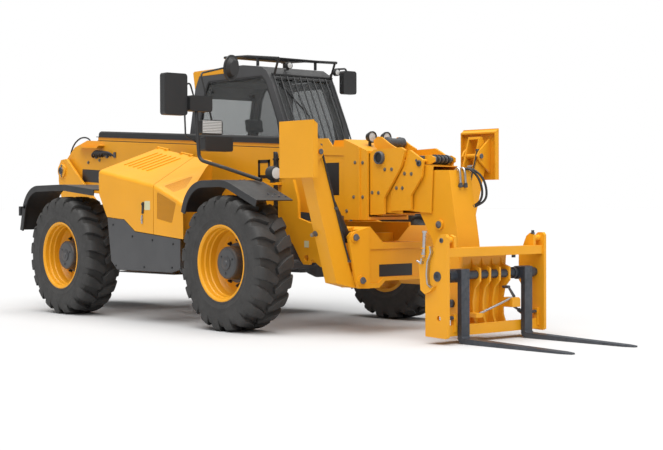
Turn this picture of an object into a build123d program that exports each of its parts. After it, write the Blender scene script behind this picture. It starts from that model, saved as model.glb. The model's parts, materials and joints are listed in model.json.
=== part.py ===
"""Telehandler with a four-section boom, stabilisers and a fork carriage.

Row frame in millimetres: +X towards the forks, +Y to the cab side, +Z up, with the origin on
the ground in the middle of the machine's length and width.
"""
import os
from math import cos, hypot, radians, sin, sqrt

from build123d import *

# ---------------------------------------------------------------- driving dimensions
HALF_LENGTH = 3795            # tail to fork tips is twice this
FRONT_AXLE_X = 485
WHEELBASE = 2750
REAR_AXLE_X = FRONT_AXLE_X - WHEELBASE
TRACK_HALF = 1000             # tyre mid-plane to the machine's mid-plane

TYRE_R = 605
TYRE_WIDTH = 390
AXLE_Z = TYRE_R
RIM_R = 326                   # bead seat of the rim
RIM_WIDTH = 360
KINGPIN_Y = 800               # steering axis

BOOM_PIVOT = (-3700, 1515)    # x, z of the pin in the rear towers
BOOM_TILT = 3.2               # the stowed boom slopes down to the front, degrees
NOSE_PIVOT = (2340, 295)      # x, z of the carriage pin at the foot of the nose

LEG_X = 1510                  # stabiliser legs swing in this plane
LEG_PIVOT = (527, 473)        # distance from mid-plane, z
LEG_PAD_PIN = (981, 1564)
LEG_RAM_PIN = (604, 843)      # ram's base pin on the frame
LEG_RAM_EYE = (970, 1460)     # ram's eye on the stowed leg

LIFT_BASE = (-3000, 720)      # lift ram's base pin, x, z
LIFT_EYE = (-1600, 985)       # lift ram's eye under the boom

CAB_Y = (300, 1150)
CAB_WALL = 45
POD_OUTER_Y = 1150            # engine pod's outer face, on the right side
RAIL_Y = (320, 420)           # chassis rails

SIDE = Plane.XZ               # drawn as x, z seen from the right side
TILT_DIR = (cos(radians(BOOM_TILT)), 0, -sin(radians(BOOM_TILT)))
BOOM = Plane(origin=(BOOM_PIVOT[0], 0, BOOM_PIVOT[1]), x_dir=TILT_DIR, z_dir=(0, -1, 0))

WHEELS = (                    # name, axle x, side (+1 is the cab side)
    ("front_right", FRONT_AXLE_X, -1),
    ("front_left", FRONT_AXLE_X, 1),
    ("rear_right", REAR_AXLE_X, -1),
    ("rear_left", REAR_AXLE_X, 1),
)
SIDES = (("right", -1), ("left", 1))
PIN_PLAY = 0.1                # a pin is this much smaller than its hole, in radius

pieces = {}                   # node name to finished builder


# ---------------------------------------------------------------- drawing helpers
def span(side, near, far):
    """Return the y range between two distances from the mid-plane on one side."""
    return (near, far) if side > 0 else (-far, -near)


def block(x_range, y_range, z_range, mode=Mode.ADD):
    """Box between three ranges."""
    centre = [(low + high) / 2 for low, high in (x_range, y_range, z_range)]
    size = [high - low for low, high in (x_range, y_range, z_range)]
    with Locations(Vector(*centre)):
        Box(*size, mode=mode)


def side_shape(points, y_range, plane=SIDE, inset=0, corner=0, mode=Mode.ADD):
    """Prism of an outline drawn in side view, between two y values."""
    with BuildSketch(plane.offset(-y_range[1])) as outline:
        with BuildLine():
            Polyline(*points, close=True)
        make_face()
        if inset:
            offset(amount=-inset, kind=Kind.INTERSECTION, mode=Mode.REPLACE)
        if corner:
            fillet(outline.vertices(), corner)
    extrude(outline.sketch, amount=y_range[1] - y_range[0], mode=mode)


def front_shape(points, x_range, mode=Mode.ADD):
    """Prism of an outline drawn as y, z, between two x values."""
    with BuildSketch(Plane.YZ.offset(x_range[0])) as outline:
        with BuildLine():
            Polyline(*points, close=True)
        make_face()
    extrude(outline.sketch, amount=x_range[1] - x_range[0], mode=mode)


def plan_shape(points, z_range, mode=Mode.ADD):
    """Prism of an outline drawn as x, y, between two heights."""
    with BuildSketch(Plane.XY.offset(z_range[0])) as outline:
        with BuildLine():
            Polyline(*points, close=True)
        make_face()
    extrude(outline.sketch, amount=z_range[1] - z_range[0], mode=mode)


def round_y(centre, y_range, radius, plane=SIDE, mode=Mode.ADD):
    """Cylinder across the machine at x, z of the given side-view plane."""
    with BuildSketch(plane.offset(-y_range[1])) as outline:
        with Locations(centre):
            Circle(radius)
    extrude(outline.sketch, amount=y_range[1] - y_range[0], mode=mode)


def round_x(centre, x_range, radius, mode=Mode.ADD):
    """Cylinder along the machine at y, z."""
    with BuildSketch(Plane.YZ.offset(x_range[0])) as outline:
        with Locations(centre):
            Circle(radius)
    extrude(outline.sketch, amount=x_range[1] - x_range[0], mode=mode)


def round_z(centre, z_range, radius, mode=Mode.ADD):
    """Upright cylinder at x, y."""
    with BuildSketch(Plane.XY.offset(z_range[0])) as outline:
        with Locations(centre):
            Circle(radius)
    extrude(outline.sketch, amount=z_range[1] - z_range[0], mode=mode)


def bar(start, end, radius, sides=0):
    """Bar between two points in space, round or with a number of flat sides."""
    run = Vector(*end) - Vector(*start)
    with BuildSketch(Plane(origin=start, z_dir=run)) as outline:
        if sides:
            RegularPolygon(radius, sides)
        else:
            Circle(radius)
    extrude(outline.sketch, amount=run.length)


def arch(points, bends, y_range, thickness):
    """Curved plate across the machine, lying under a path in side view."""
    with BuildSketch(SIDE.offset(-y_range[1])) as outline:
        with BuildLine():
            path = FilletPolyline(*points, radius=bends)
            offset(path, amount=thickness, side=Side.RIGHT)
        make_face()
    extrude(outline.sketch, amount=y_range[1] - y_range[0])


def bent_tube(points, radius, bend):
    """Round tube along straight runs joined by arcs."""
    with BuildLine() as path:
        FilletPolyline(*points, radius=bend)
    with BuildSketch(Plane(origin=path.line @ 0, z_dir=path.line % 0)) as section:
        Circle(radius)
    sweep(section.sketch, path=path.line)


# ---------------------------------------------------------------- wheels
CARCASS_SIDES = 20            # the carcass has one flat facet to each pitch of the lugs
TREAD_R = 568
BEAD_R = 331                  # corners of the faceted bore, clear of the rim
TYRE_HALF = TYRE_WIDTH / 2
# carcass outline: distance from the wheel's mid-plane, radius
CARCASS = (
    (-165, 342), (-TYRE_HALF, 440), (-TYRE_HALF, TREAD_R), (TYRE_HALF, TREAD_R), (TYRE_HALF, 440),
    (165, 342),
)
LUG_COUNT = 20                # on each half of the tread
# lug seen from above: distance along the tread, distance across it; the nose leads
LUG_OUTLINE = ((-88, TYRE_HALF), (22, TYRE_HALF), (42, 105), (84, 10), (30, -8), (-52, 100))
LUG_REACH = 88
LUG_TOP = sqrt(TYRE_R**2 - LUG_REACH**2)
LUG_FOOT = 470
# the lug's shoulder slopes from this distance across to that one, where it is this high
LUG_SHOULDER = (148, TYRE_HALF, 545)
# rim outline with its stepped barrel: distance outboard of the mid-plane, radius
RIM_SECTION = (
    (180, 344), (180, 329), (166, 313), (126, 313), (118, 303), (78, 303), (70, 294), (12, 294), (-30, 262),
    (-30, 90), (-52, 90), (-52, 268), (-84, 312), (-180, 312), (-180, 344), (-171, 344), (-171, 325),
    (171, 325), (171, 344),
)
# final drive in the hub: distance outboard of the mid-plane, radius
HUB_SECTION = (
    (-90, 0), (-90, 85), (-30, 85), (-30, 178), (-8, 178), (-8, 152), (92, 147), (108, 138), (115, 122),
    (115, 0),
)

lugs = {}                     # side of the tread to its lug
for side in (-1, 1):
    with BuildPart() as lug:
        with BuildSketch(Plane.XY.offset(LUG_TOP)) as lug_face:
            with BuildLine():
                Polyline(*[(along, side * across) for along, across in LUG_OUTLINE], close=True)
            make_face()
        extrude(lug_face.sketch, amount=LUG_FOOT - LUG_TOP)
        start, end, low = LUG_SHOULDER
        slope = Plane(origin=(0, side * start, LUG_TOP), z_dir=(0, side * (LUG_TOP - low), end - start))
        split(bisect_by=slope, keep=Keep.BOTTOM)
    lugs[side] = lug

with BuildPart() as tyre_form:
    for across, radius in CARCASS:
        with BuildSketch(Plane.XZ.offset(across)):
            RegularPolygon(radius, CARCASS_SIDES)
    loft(ruled=True)
    with BuildSketch(Plane.XZ.offset(-TYRE_HALF)):
        RegularPolygon(BEAD_R, CARCASS_SIDES)
    extrude(amount=TYRE_WIDTH, mode=Mode.SUBTRACT)
    pitch = 360 / LUG_COUNT
    for side, shift in ((-1, 0.5), (1, 0)):
        turns = [Location((0, 0, 0), (0, (index + shift) * pitch, 0)) for index in range(LUG_COUNT)]
        with Locations(*turns):
            add(lugs[side].part)

for name, axle_x, side in WHEELS:
    wheel_plane = Plane(origin=(axle_x, side * TRACK_HALF, AXLE_Z), x_dir=(0, side, 0), z_dir=(1, 0, 0))
    wheel_axis = Axis((axle_x, 0, AXLE_Z), (0, 1, 0))

    with BuildPart() as tyre:
        with Locations((axle_x, side * TRACK_HALF, AXLE_Z)):
            add(tyre_form.part)
    pieces[f"tyre_{name}"] = tyre

    for label, section in (("rim", RIM_SECTION), ("hub", HUB_SECTION)):
        with BuildPart() as disc:
            with BuildSketch(wheel_plane):
                with BuildLine():
                    Polyline(*section, close=True)
                make_face()
            revolve(axis=wheel_axis)
        pieces[f"{label}_{name}"] = disc

# ---------------------------------------------------------------- axles
KNUCKLE_TOP = 190             # above and below the axle's centre line
KNUCKLE_GAP = 118
KNUCKLE_PLATE_Y = (KINGPIN_Y + 63, KINGPIN_Y + 92)
KNUCKLE_HALF_X = 90
SPINDLE_R = 70
KINGPIN_BOSS_R = 60
for name, axle_x, side in WHEELS:
    with BuildPart() as knuckle:
        round_y((axle_x, AXLE_Z), span(side, KINGPIN_Y + 70, TRACK_HALF - 92), SPINDLE_R)
        block(
            (axle_x - KNUCKLE_HALF_X, axle_x + KNUCKLE_HALF_X),
            span(side, *KNUCKLE_PLATE_Y),
            (AXLE_Z - KNUCKLE_TOP, AXLE_Z + KNUCKLE_TOP),
        )
        for z_low, z_high in (
            (AXLE_Z - KNUCKLE_TOP, AXLE_Z - KNUCKLE_GAP),
            (AXLE_Z + KNUCKLE_GAP, AXLE_Z + KNUCKLE_TOP),
        ):
            round_z((axle_x, side * KINGPIN_Y), (z_low, z_high), KINGPIN_BOSS_R)
            block(
                (axle_x - KINGPIN_BOSS_R, axle_x + KINGPIN_BOSS_R),
                span(side, KINGPIN_Y, KNUCKLE_PLATE_Y[1]),
                (z_low, z_high),
            )
    pieces[f"knuckle_{name}"] = knuckle

# axle name, x, height of its mounting pad, which way its drive flange faces
AXLES = (("front_axle", FRONT_AXLE_X, 760, -1), ("rear_axle", REAR_AXLE_X, 745, 1))
YOKE_HALF = 112
YOKE_R = 58
AXLE_TUBE_R = 82
STEER_RAM_OFFSET = 190
STEER_RAM_R = 40
STEER_ROD_R = 16
# gear case round the differential: distance from the mid-plane, radius
AXLE_CASE = ((-175, 0), (-175, 82), (-125, 135), (-50, 165), (50, 165), (125, 135), (175, 82), (175, 0))
for name, axle_x, mount_z, drive in AXLES:
    with BuildPart() as axle:
        round_y((axle_x, AXLE_Z), (-KINGPIN_Y + 110, KINGPIN_Y - 110), AXLE_TUBE_R)
        with BuildSketch(Plane(origin=(axle_x, 0, AXLE_Z), x_dir=(0, 1, 0), z_dir=(1, 0, 0))):
            with BuildLine():
                Polyline(*AXLE_CASE, close=True)
            make_face()
        revolve(axis=Axis((axle_x, 0, AXLE_Z), (0, 1, 0)))
        round_x((0, AXLE_Z), (axle_x + min(0, drive * 240), axle_x + max(0, drive * 240)), 62)
        block((axle_x - 110, axle_x + 110), (-KINGPIN_Y + 260, KINGPIN_Y - 260), (AXLE_Z - 70, mount_z))
        # steering ram across the axle's other face
        ram_x = axle_x - drive * STEER_RAM_OFFSET
        round_y((ram_x, AXLE_Z), (-260, 260), STEER_RAM_R)
        for side in (-1, 1):
            round_y((ram_x, AXLE_Z), span(side, 255, 560), STEER_ROD_R)
            block(
                (min(ram_x, axle_x - drive * 70), max(ram_x, axle_x - drive * 70)),
                span(side, 190, 240),
                (AXLE_Z - 30, AXLE_Z + 30),
            )
            round_z((axle_x, side * KINGPIN_Y), (AXLE_Z - YOKE_HALF, AXLE_Z + YOKE_HALF), YOKE_R)
            block(
                (axle_x - YOKE_R, axle_x + YOKE_R),
                span(side, KINGPIN_Y - 115, KINGPIN_Y),
                (AXLE_Z - YOKE_HALF, AXLE_Z + YOKE_HALF),
            )
    pieces[name] = axle

# ---------------------------------------------------------------- chassis
RAIL_PLATE = 30
RAIL_TOP = 960
BELLY_Z = 640
TOWER_Y = (262, 292)          # plates that carry the boom pin
# rail outline, arched over both axles
RAIL_SIDE = (
    (-3520, BELLY_Z), (-3520, RAIL_TOP), (1262, RAIL_TOP), (1262, 600), (760, 600), (680, 770), (290, 770),
    (230, 560), (-1980, 560), (-2060, 770), (-2470, 770), (-2550, BELLY_Z),
)
TOWER_SIDE = (
    (-3560, BELLY_Z), (-3795, 1400), (-3795, 1560), (-3740, 1640), (-3620, 1650), (-3100, 1240),
    (-2700, 950), (-2700, BELLY_Z),
)
# plate beside the front wheel, with the tie-down lug at its foot
LUG_SIDE = (
    (470, 800), (450, 1200), (460, 1350), (618, 1350), (682, 1170), (690, 1000), (1262, 850), (1262, 565),
    (995, 565), (880, 630), (834, 580), (761, 580), (724, 614), (600, 780),
)
TIE_DOWN = (800, 640)         # x, z of the lashing hole
# cross member: x low, x high, z low, z high
CROSS_PLATES = (
    (-2620, -2560, 640, 710),
    (-1700, -1640, 560, 740),
    (-500, -440, 560, 760),
    (1000, 1060, 640, 860),
)
OUTRIGGERS_X = ((-1280, -1180), (-780, -680))
# outriggers below the engine pod and below the cab: low z, high z, reach from the mid-plane
OUTRIGGER_FORM = {-1: (570, 640, POD_OUTER_Y - 12), 1: (650, 740, 1100)}
FENDER_ARMS = ((FRONT_AXLE_X, 1328), (REAR_AXLE_X, 1316))   # axle x, arm's top
ARM_FROM_AXLE = (-120, -60)
ARM_REACH = 900
ARM_PLATE = 25
# post that carries the bonnet's hinge: x low, x high, z high
POD_POSTS = ((-1520, -1420, 1690), (-1100, -1000, 1622))
BONNET_HINGE = ((-1587, -432, 1716), (-915, -432, 1605))   # two points on the hinge line
BONNET_HINGE_R = 12


def hinge_point(x):
    """Return the point of the bonnet's hinge line at x."""
    start, end = BONNET_HINGE
    part = (x - start[0]) / (end[0] - start[0])
    return (x, start[1], start[2] + part * (end[2] - start[2]))


for name, side in SIDES:
    with BuildPart() as rail:
        side_shape(RAIL_SIDE, span(side, RAIL_Y[1] - RAIL_PLATE, RAIL_Y[1]))
        side_shape(LUG_SIDE, span(side, RAIL_Y[1], 450))
        # posts and arms that carry the fenders
        for axle_x, arm_top in FENDER_ARMS:
            arm_x = (axle_x + ARM_FROM_AXLE[0], axle_x + ARM_FROM_AXLE[1])
            block(arm_x, span(side, RAIL_Y[1] - RAIL_PLATE, RAIL_Y[1]), (RAIL_TOP - 10, arm_top))
            block(arm_x, span(side, RAIL_Y[1] - 1, ARM_REACH), (arm_top - ARM_PLATE, arm_top))
        z_low, z_high, reach = OUTRIGGER_FORM[side]
        for x_range in OUTRIGGERS_X:
            block(x_range, span(side, RAIL_Y[1] - 5, reach), (z_low, z_high))
        if side < 0:
            for x_low, x_high, z_high in POD_POSTS:
                block((x_low, x_high), (BONNET_HINGE[0][1] + 4, -RAIL_Y[1] + RAIL_PLATE), (900, z_high))
                bar(hinge_point(x_low + 2), hinge_point(x_high - 2), BONNET_HINGE_R)
        round_y(TIE_DOWN, span(side, RAIL_Y[1] - 60, 470), 30, mode=Mode.SUBTRACT)
    pieces[f"rail_{name}"] = rail

with BuildPart() as cross_members:
    for x_low, x_high, z_low, z_high in CROSS_PLATES:
        block((x_low, x_high), (-RAIL_Y[1] + RAIL_PLATE, RAIL_Y[1] - RAIL_PLATE), (z_low, z_high))
pieces["cross_members"] = cross_members

BOOM_PIN_R = 45
LIFT_PIN_R = 32
TOWER_BRACES_X = ((-3520, -3440), (-2760, -2700))
with BuildPart() as tower:
    for side in (-1, 1):
        side_shape(TOWER_SIDE, span(side, *TOWER_Y))
        round_y(BOOM_PIVOT, span(side, TOWER_Y[1] - 1, TOWER_Y[1] + 22), 78)
        for x_range in TOWER_BRACES_X:
            block(x_range, span(side, TOWER_Y[1] - 1, RAIL_Y[1] - RAIL_PLATE), (700, 940))
    block((-3520, -3490), (-RAIL_Y[1] + RAIL_PLATE, RAIL_Y[1] - RAIL_PLATE), (BELLY_Z, RAIL_TOP))
    round_y(BOOM_PIVOT, (-330, 330), BOOM_PIN_R, mode=Mode.SUBTRACT)
    round_y(LIFT_BASE, (-400, 400), LIFT_PIN_R, mode=Mode.SUBTRACT)
pieces["rear_tower"] = tower

with BuildPart() as chassis_pins:
    round_y(BOOM_PIVOT, (-322, 322), BOOM_PIN_R - PIN_PLAY)
    round_y(LIFT_BASE, (-300, 300), LIFT_PIN_R - PIN_PLAY)
pieces["chassis_pins"] = chassis_pins

HITCH_X = -3735
HITCH_PIN_R = 20
COUNTERWEIGHT_SIDE = (
    (-3600, 460), (-3640, 520), (-3640, BELLY_Z), (-2600, BELLY_Z), (-2600, 520), (-2680, 440),
    (-3560, 440),
)
with BuildPart() as counterweight:
    side_shape(COUNTERWEIGHT_SIDE, (-450, 450))
    chamfer(counterweight.edges().filter_by(Axis.Z), 30)
    # tow hitch on its back face
    block((HITCH_X - 55, -3630), (-60, 60), (520, 580))
    round_z((HITCH_X, 0), (500, 600), HITCH_PIN_R, mode=Mode.SUBTRACT)
pieces["counterweight"] = counterweight

# front frame: a box across the machine with the trough that the boom lies in
FRONT_FRAME_X = (1262, 1600)
FRONT_SKIN_X = 1588           # the front plate stands between folded edges
# front view outlines, y, z
FRAME_FRONT = (
    (-450, 400), (-450, 905), (-405, 930), (-250, 790), (250, 790), (405, 930), (450, 905),
    (450, 400), (300, 400), (225, 458), (-225, 458), (-300, 400),
)
FRAME_FACE = (
    (-405, 440), (-405, 735), (405, 735), (405, 440), (310, 440), (245, 490), (-245, 490),
    (-310, 440),
)
CLEVIS = ((430, 400), (430, 930), (560, 900), (650, 882), (668, 820), (590, 470), (560, 405))
CLEVIS_X = ((1395, 1420), (1595, 1620))
LEG_PIN_R = 28
with BuildPart() as front_frame:
    front_shape(FRAME_FRONT, FRONT_FRAME_X)
    front_shape(FRAME_FACE, (FRONT_SKIN_X, FRONT_FRAME_X[1]), mode=Mode.SUBTRACT)
    for side in (-1, 1):
        for x_range in CLEVIS_X:
            front_shape([(side * y, z) for y, z in CLEVIS], x_range)
        for pin_y, pin_z in (LEG_PIVOT, LEG_RAM_PIN):
            round_x((side * pin_y, pin_z), (1380, 1636), LEG_PIN_R - PIN_PLAY)
            round_x((side * pin_y, pin_z), (1620, 1628), 46)
pieces["front_frame"] = front_frame

# ---------------------------------------------------------------- stabilisers
LEG_HALF_X = 73
LEG_WEB = 16
# outlines as distance from the mid-plane, z
LEG_OUTLINE = (
    (780, 455), (1075, 1450), (1085, 1640), (1035, 1745), (1000, 1745), (873, 1330), (600, 500),
    (560, 545), (500, 530), (468, 480), (490, 420), (540, 405), (600, 412),
)
LEG_CHANNEL = ((811, 620), (1059, 1450), (1069, 1640), (1030, 1720), (900, 1720), (560, 620))
ACROSS_LEG_X = (LEG_X - 100, LEG_X + 100)
PAD_PIN_R = 24
RAM_RUN = (LEG_RAM_EYE[0] - LEG_RAM_PIN[0], LEG_RAM_EYE[1] - LEG_RAM_PIN[1])
RAM_LENGTH = hypot(*RAM_RUN)
PAD_X = (1260, 1700)
PAD_Z = (1346, 1822)
PAD_SKIN = (1122, 1134)
PAD_FLANGE = 12
PAD_FOLD = ((1134, 1822), (1085, 1790), (1085, 1776), (1118, 1798), (1122, 1790))
# ears that hold the pad on its pin
PAD_EAR = (
    (1125, 1400), (1125, 1740), (LEG_PAD_PIN[0] - 20, 1610), (LEG_PAD_PIN[0] - 45, 1564),
    (LEG_PAD_PIN[0] - 20, 1520),
)
PAD_EARS_X = ((LEG_X - 102, LEG_X - 82), (LEG_X + 82, LEG_X + 102))
RAM_TUBE_R = 42
RAM_BORE_R = 23
RAM_ROD_R = 22
RAM_EYE_R = 18

for name, side in SIDES:
    with BuildPart() as leg:
        front_shape([(side * d, z) for d, z in LEG_OUTLINE], (LEG_X - LEG_HALF_X, LEG_X + LEG_HALF_X))
        front_shape(
            [(side * d, z) for d, z in LEG_CHANNEL],
            (LEG_X - LEG_HALF_X + LEG_WEB, LEG_X + LEG_HALF_X - LEG_WEB),
            mode=Mode.SUBTRACT,
        )
        round_x((side * LEG_PIVOT[0], LEG_PIVOT[1]), ACROSS_LEG_X, LEG_PIN_R, mode=Mode.SUBTRACT)
        round_x((side * LEG_PAD_PIN[0], LEG_PAD_PIN[1]), ACROSS_LEG_X, PAD_PIN_R, mode=Mode.SUBTRACT)
    pieces[f"leg_{name}"] = leg

    with BuildPart() as pad:
        block(PAD_X, span(side, *PAD_SKIN), PAD_Z)
        for x_range in ((PAD_X[0], PAD_X[0] + PAD_FLANGE), (PAD_X[1] - PAD_FLANGE, PAD_X[1])):
            block(x_range, span(side, 1085, PAD_SKIN[1]), (PAD_Z[0], PAD_Z[1] - 30))
        front_shape([(side * d, z) for d, z in PAD_FOLD], PAD_X)
        for x_range in PAD_EARS_X:
            front_shape([(side * d, z) for d, z in PAD_EAR], x_range)
        round_x(
            (side * LEG_PAD_PIN[0], LEG_PAD_PIN[1]),
            (LEG_X - 110, LEG_X + 110),
            PAD_PIN_R - PIN_PLAY,
        )
    pieces[f"pad_{name}"] = pad

    ram_dir = (0, side * RAM_RUN[0] / RAM_LENGTH, RAM_RUN[1] / RAM_LENGTH)
    ram_plane = Plane(origin=(LEG_X, side * LEG_RAM_PIN[0], LEG_RAM_PIN[1]), x_dir=(1, 0, 0), z_dir=ram_dir)
    with BuildPart() as barrel:
        with BuildSketch(ram_plane.offset(20)) as tube_end:
            Circle(RAM_TUBE_R)
            Circle(RAM_BORE_R, mode=Mode.SUBTRACT)
        extrude(tube_end.sketch, amount=RAM_LENGTH - 130)
        with BuildSketch(ram_plane.offset(20)) as cap:
            Circle(RAM_TUBE_R)
        extrude(cap.sketch, amount=40)
        round_x((side * LEG_RAM_PIN[0], LEG_RAM_PIN[1]), (LEG_X - 35, LEG_X + 35), 52)
        round_x((side * LEG_RAM_PIN[0], LEG_RAM_PIN[1]), ACROSS_LEG_X, LEG_PIN_R, mode=Mode.SUBTRACT)
    pieces[f"leg_barrel_{name}"] = barrel

    with BuildPart() as rod:
        with BuildSketch(ram_plane.offset(90)) as rod_end:
            Circle(RAM_ROD_R)
        extrude(rod_end.sketch, amount=RAM_LENGTH - 90)
        round_x((side * LEG_RAM_EYE[0], LEG_RAM_EYE[1]), (LEG_X - 30, LEG_X + 30), 32)
        round_x((side * LEG_RAM_EYE[0], LEG_RAM_EYE[1]), ACROSS_LEG_X, RAM_EYE_R, mode=Mode.SUBTRACT)
    pieces[f"leg_rod_{name}"] = rod

# ---------------------------------------------------------------- boom
# section: name, half width, low edge, high edge, wall, start and end along the boom
SECTIONS = (
    ("boom_section_2", 205, -198, 322, 8, 420, 5250),
    ("boom_section_3", 177, -170, 290, 8, 480, 5480),
    ("boom_nose", 150, -143, 259, 8, 540, 5800),
)
OUTER_HALF = 235
OUTER_LOW = -228
OUTER_HIGH = 357
OUTER_START = 300
OUTER_END = 4995
OUTER_WALL = 10
COLLAR_X = (1090, 1400)       # flanged front end of the outer section
COLLAR_HALF = 250
# side view outlines on the outer section: collar, its rib, the plate behind it, its top
COLLAR_SIDE = ((1090, 988), (1090, 1706), (1300, 1630), (COLLAR_X[1], 1592), (COLLAR_X[1], 984))
COLLAR_RIB = ((1290, 985), (1290, 1632), (1310, 1626), (1310, 985))
TOP_PLATE = (
    (380, 1640), (420, 1732), (862, 1722), (935, 1645), (1092, 1637), (1092, 1560), (380, 1590),
)
COLLAR_BRIDGE = ((1090, 1616), (1090, 1706), (1300, 1630), (1400, 1592), (1400, 1570), (1300, 1585))
LIFT_EAR = ((-1850, 1200), (-1350, 1165), (-1530, 930), (-1670, 930))
LIFT_EAR_Y = (75, 105)
LIFT_EYE_R = 30

with BuildPart() as boom_outer:
    side_shape(
        (
            (-70, -75), (-88, 0), (-60, 90), (150, 270), (420, OUTER_HIGH), (OUTER_END, OUTER_HIGH),
            (OUTER_END, OUTER_LOW), (OUTER_START, OUTER_LOW), (60, -110),
        ),
        (-OUTER_HALF, OUTER_HALF),
        plane=BOOM,
    )
    side_shape(
        (
            (OUTER_START, OUTER_LOW + OUTER_WALL), (OUTER_START, OUTER_HIGH - OUTER_WALL),
            (OUTER_END + 10, OUTER_HIGH - OUTER_WALL), (OUTER_END + 10, OUTER_LOW + OUTER_WALL),
        ),
        (-OUTER_HALF + OUTER_WALL, OUTER_HALF - OUTER_WALL),
        plane=BOOM,
        mode=Mode.SUBTRACT,
    )
    # flanged front end with an upright rib along its edge, and the raised plate behind it
    for side in (-1, 1):
        side_shape(COLLAR_SIDE, span(side, OUTER_HALF - 2, COLLAR_HALF))
        side_shape(COLLAR_RIB, span(side, COLLAR_HALF - 1, COLLAR_HALF + 12))
        side_shape(TOP_PLATE, span(side, OUTER_HALF - 1, OUTER_HALF + 8))
    side_shape(COLLAR_BRIDGE, (-COLLAR_HALF, COLLAR_HALF))
    block(COLLAR_X, (-COLLAR_HALF, COLLAR_HALF), (985, 1012))
    # ears for the lift ram's eye
    for side in (-1, 1):
        side_shape(LIFT_EAR, span(side, *LIFT_EAR_Y))
        round_y(LIFT_EYE, span(side, LIFT_EAR_Y[0] - 7, LIFT_EAR_Y[1]), LIFT_EYE_R - 2)
    round_y((0, 0), (-300, 300), BOOM_PIN_R, plane=BOOM, mode=Mode.SUBTRACT)
pieces["boom_outer"] = boom_outer

COVER_X = (560, 3900)         # along the boom
COVER_RISE = 110
COVER_HALF = 200
COVER_WALL = 10
COVER_BEVEL = 62              # inside its two bent edges
COVER_TOP = OUTER_HIGH + COVER_RISE
with BuildPart() as boom_cover:
    side_shape(
        (
            (COVER_X[0], OUTER_HIGH), (COVER_X[0], COVER_TOP), (COVER_X[1], COVER_TOP),
            (COVER_X[1], OUTER_HIGH),
        ),
        (-COVER_HALF, COVER_HALF),
        plane=BOOM,
    )
    long_edges = boom_cover.edges().filter_by(lambda edge: edge.length > 3000)
    fillet(long_edges.sort_by(Axis.Z)[-2:], 34)
    fillet(boom_cover.faces().sort_by(Axis.X)[0].edges().sort_by(Axis.Z)[-1], 60)
    side_shape(
        (
            (COVER_X[0] + COVER_WALL, OUTER_HIGH - 1),
            (COVER_X[0] + COVER_WALL, COVER_TOP - COVER_BEVEL),
            (COVER_X[0] + COVER_BEVEL, COVER_TOP - COVER_WALL),
            (COVER_X[1] - COVER_WALL, COVER_TOP - COVER_WALL),
            (COVER_X[1] - COVER_WALL, OUTER_HIGH - 1),
        ),
        (-COVER_HALF + 26, COVER_HALF - 26),
        plane=BOOM,
        mode=Mode.SUBTRACT,
    )
pieces["boom_cover"] = boom_cover

# end collars and nose, as x, z in the row frame with the half width
COLLAR_2 = (
    (1402, 1028), (1578, 1038), (1580, 1180), (1667, 1289), (1791, 1451), (1841, 1586), (1790, 1612),
    (1450, 1602), (1402, 1570),
)
COLLAR_3 = (
    (1635, 1064), (1882, 1073), (1882, 1201), (2009, 1353), (2028, 1497), (1871, 1586), (1850, 1586),
    (1798, 1447), (1676, 1285), (1635, 1230),
)
NOSE = (
    (1900, 1395), (2115, 1411), (2272, 1408), (2374, 824), (2430, 360), (2405, 235), (2340, 200),
    (2270, 235), (2255, 320), (2071, 827), (1880, 1130), (1880, 1290),
)
COLLAR_PIN = (1536, 1528)     # big pin through the second section's collar
NOSE_BOSS = (2168, 950)       # tilt ram's pin in the nose

CARRIAGE_PIN_R = 34
for name, half, low, high, wall, start, end in SECTIONS:
    with BuildPart() as section:
        side_shape(((start, low), (start, high), (end, high), (end, low)), (-half, half), plane=BOOM)
        side_shape(
            (
                (start - 5, low + wall), (start - 5, high - wall), (end + 5, high - wall),
                (end + 5, low + wall),
            ),
            (-half + wall, half - wall),
            plane=BOOM,
            mode=Mode.SUBTRACT,
        )
        if name == "boom_section_2":
            side_shape(COLLAR_2, (-222, 222))
            side_shape(COLLAR_2, (-196, 196), mode=Mode.SUBTRACT)
            for side in (-1, 1):
                round_y(COLLAR_PIN, span(side, 221, 240), 42)
        if name == "boom_section_3":
            side_shape(COLLAR_3, (-192, 192))
            side_shape(COLLAR_3, (-168, 168), mode=Mode.SUBTRACT)
        if name == "boom_nose":
            side_shape(NOSE, (-130, 130))
            side_shape(NOSE, (-112, 112), inset=18, mode=Mode.SUBTRACT)
            round_y(NOSE_PIVOT, (-130, 130), 95)
            for side in (-1, 1):
                round_y(NOSE_BOSS, span(side, 125, 148), 44)
            round_y(NOSE_PIVOT, (-160, 160), CARRIAGE_PIN_R, mode=Mode.SUBTRACT)
    pieces[name] = section

# lift ram under the boom
lift_run = (LIFT_EYE[0] - LIFT_BASE[0], LIFT_EYE[1] - LIFT_BASE[1])
LIFT_LENGTH = hypot(*lift_run)
LIFT_PLANE = Plane(
    origin=(LIFT_BASE[0], 0, LIFT_BASE[1]),
    x_dir=(0, 1, 0),
    z_dir=(lift_run[0], 0, lift_run[1]),
)
LIFT_TUBE_R = 72
LIFT_BORE_R = 45
LIFT_ROD_R = 44
with BuildPart() as lift_barrel:
    with BuildSketch(LIFT_PLANE.offset(40)) as tube_end:
        Circle(LIFT_TUBE_R)
    extrude(tube_end.sketch, amount=LIFT_LENGTH - 160)
    with BuildSketch(LIFT_PLANE.offset(110)) as tube_bore:
        Circle(LIFT_BORE_R)
    extrude(tube_bore.sketch, amount=LIFT_LENGTH, mode=Mode.SUBTRACT)
    round_y(LIFT_BASE, (-60, 60), 78)
    round_y(LIFT_BASE, (-80, 80), 33, mode=Mode.SUBTRACT)
pieces["lift_barrel"] = lift_barrel

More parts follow.
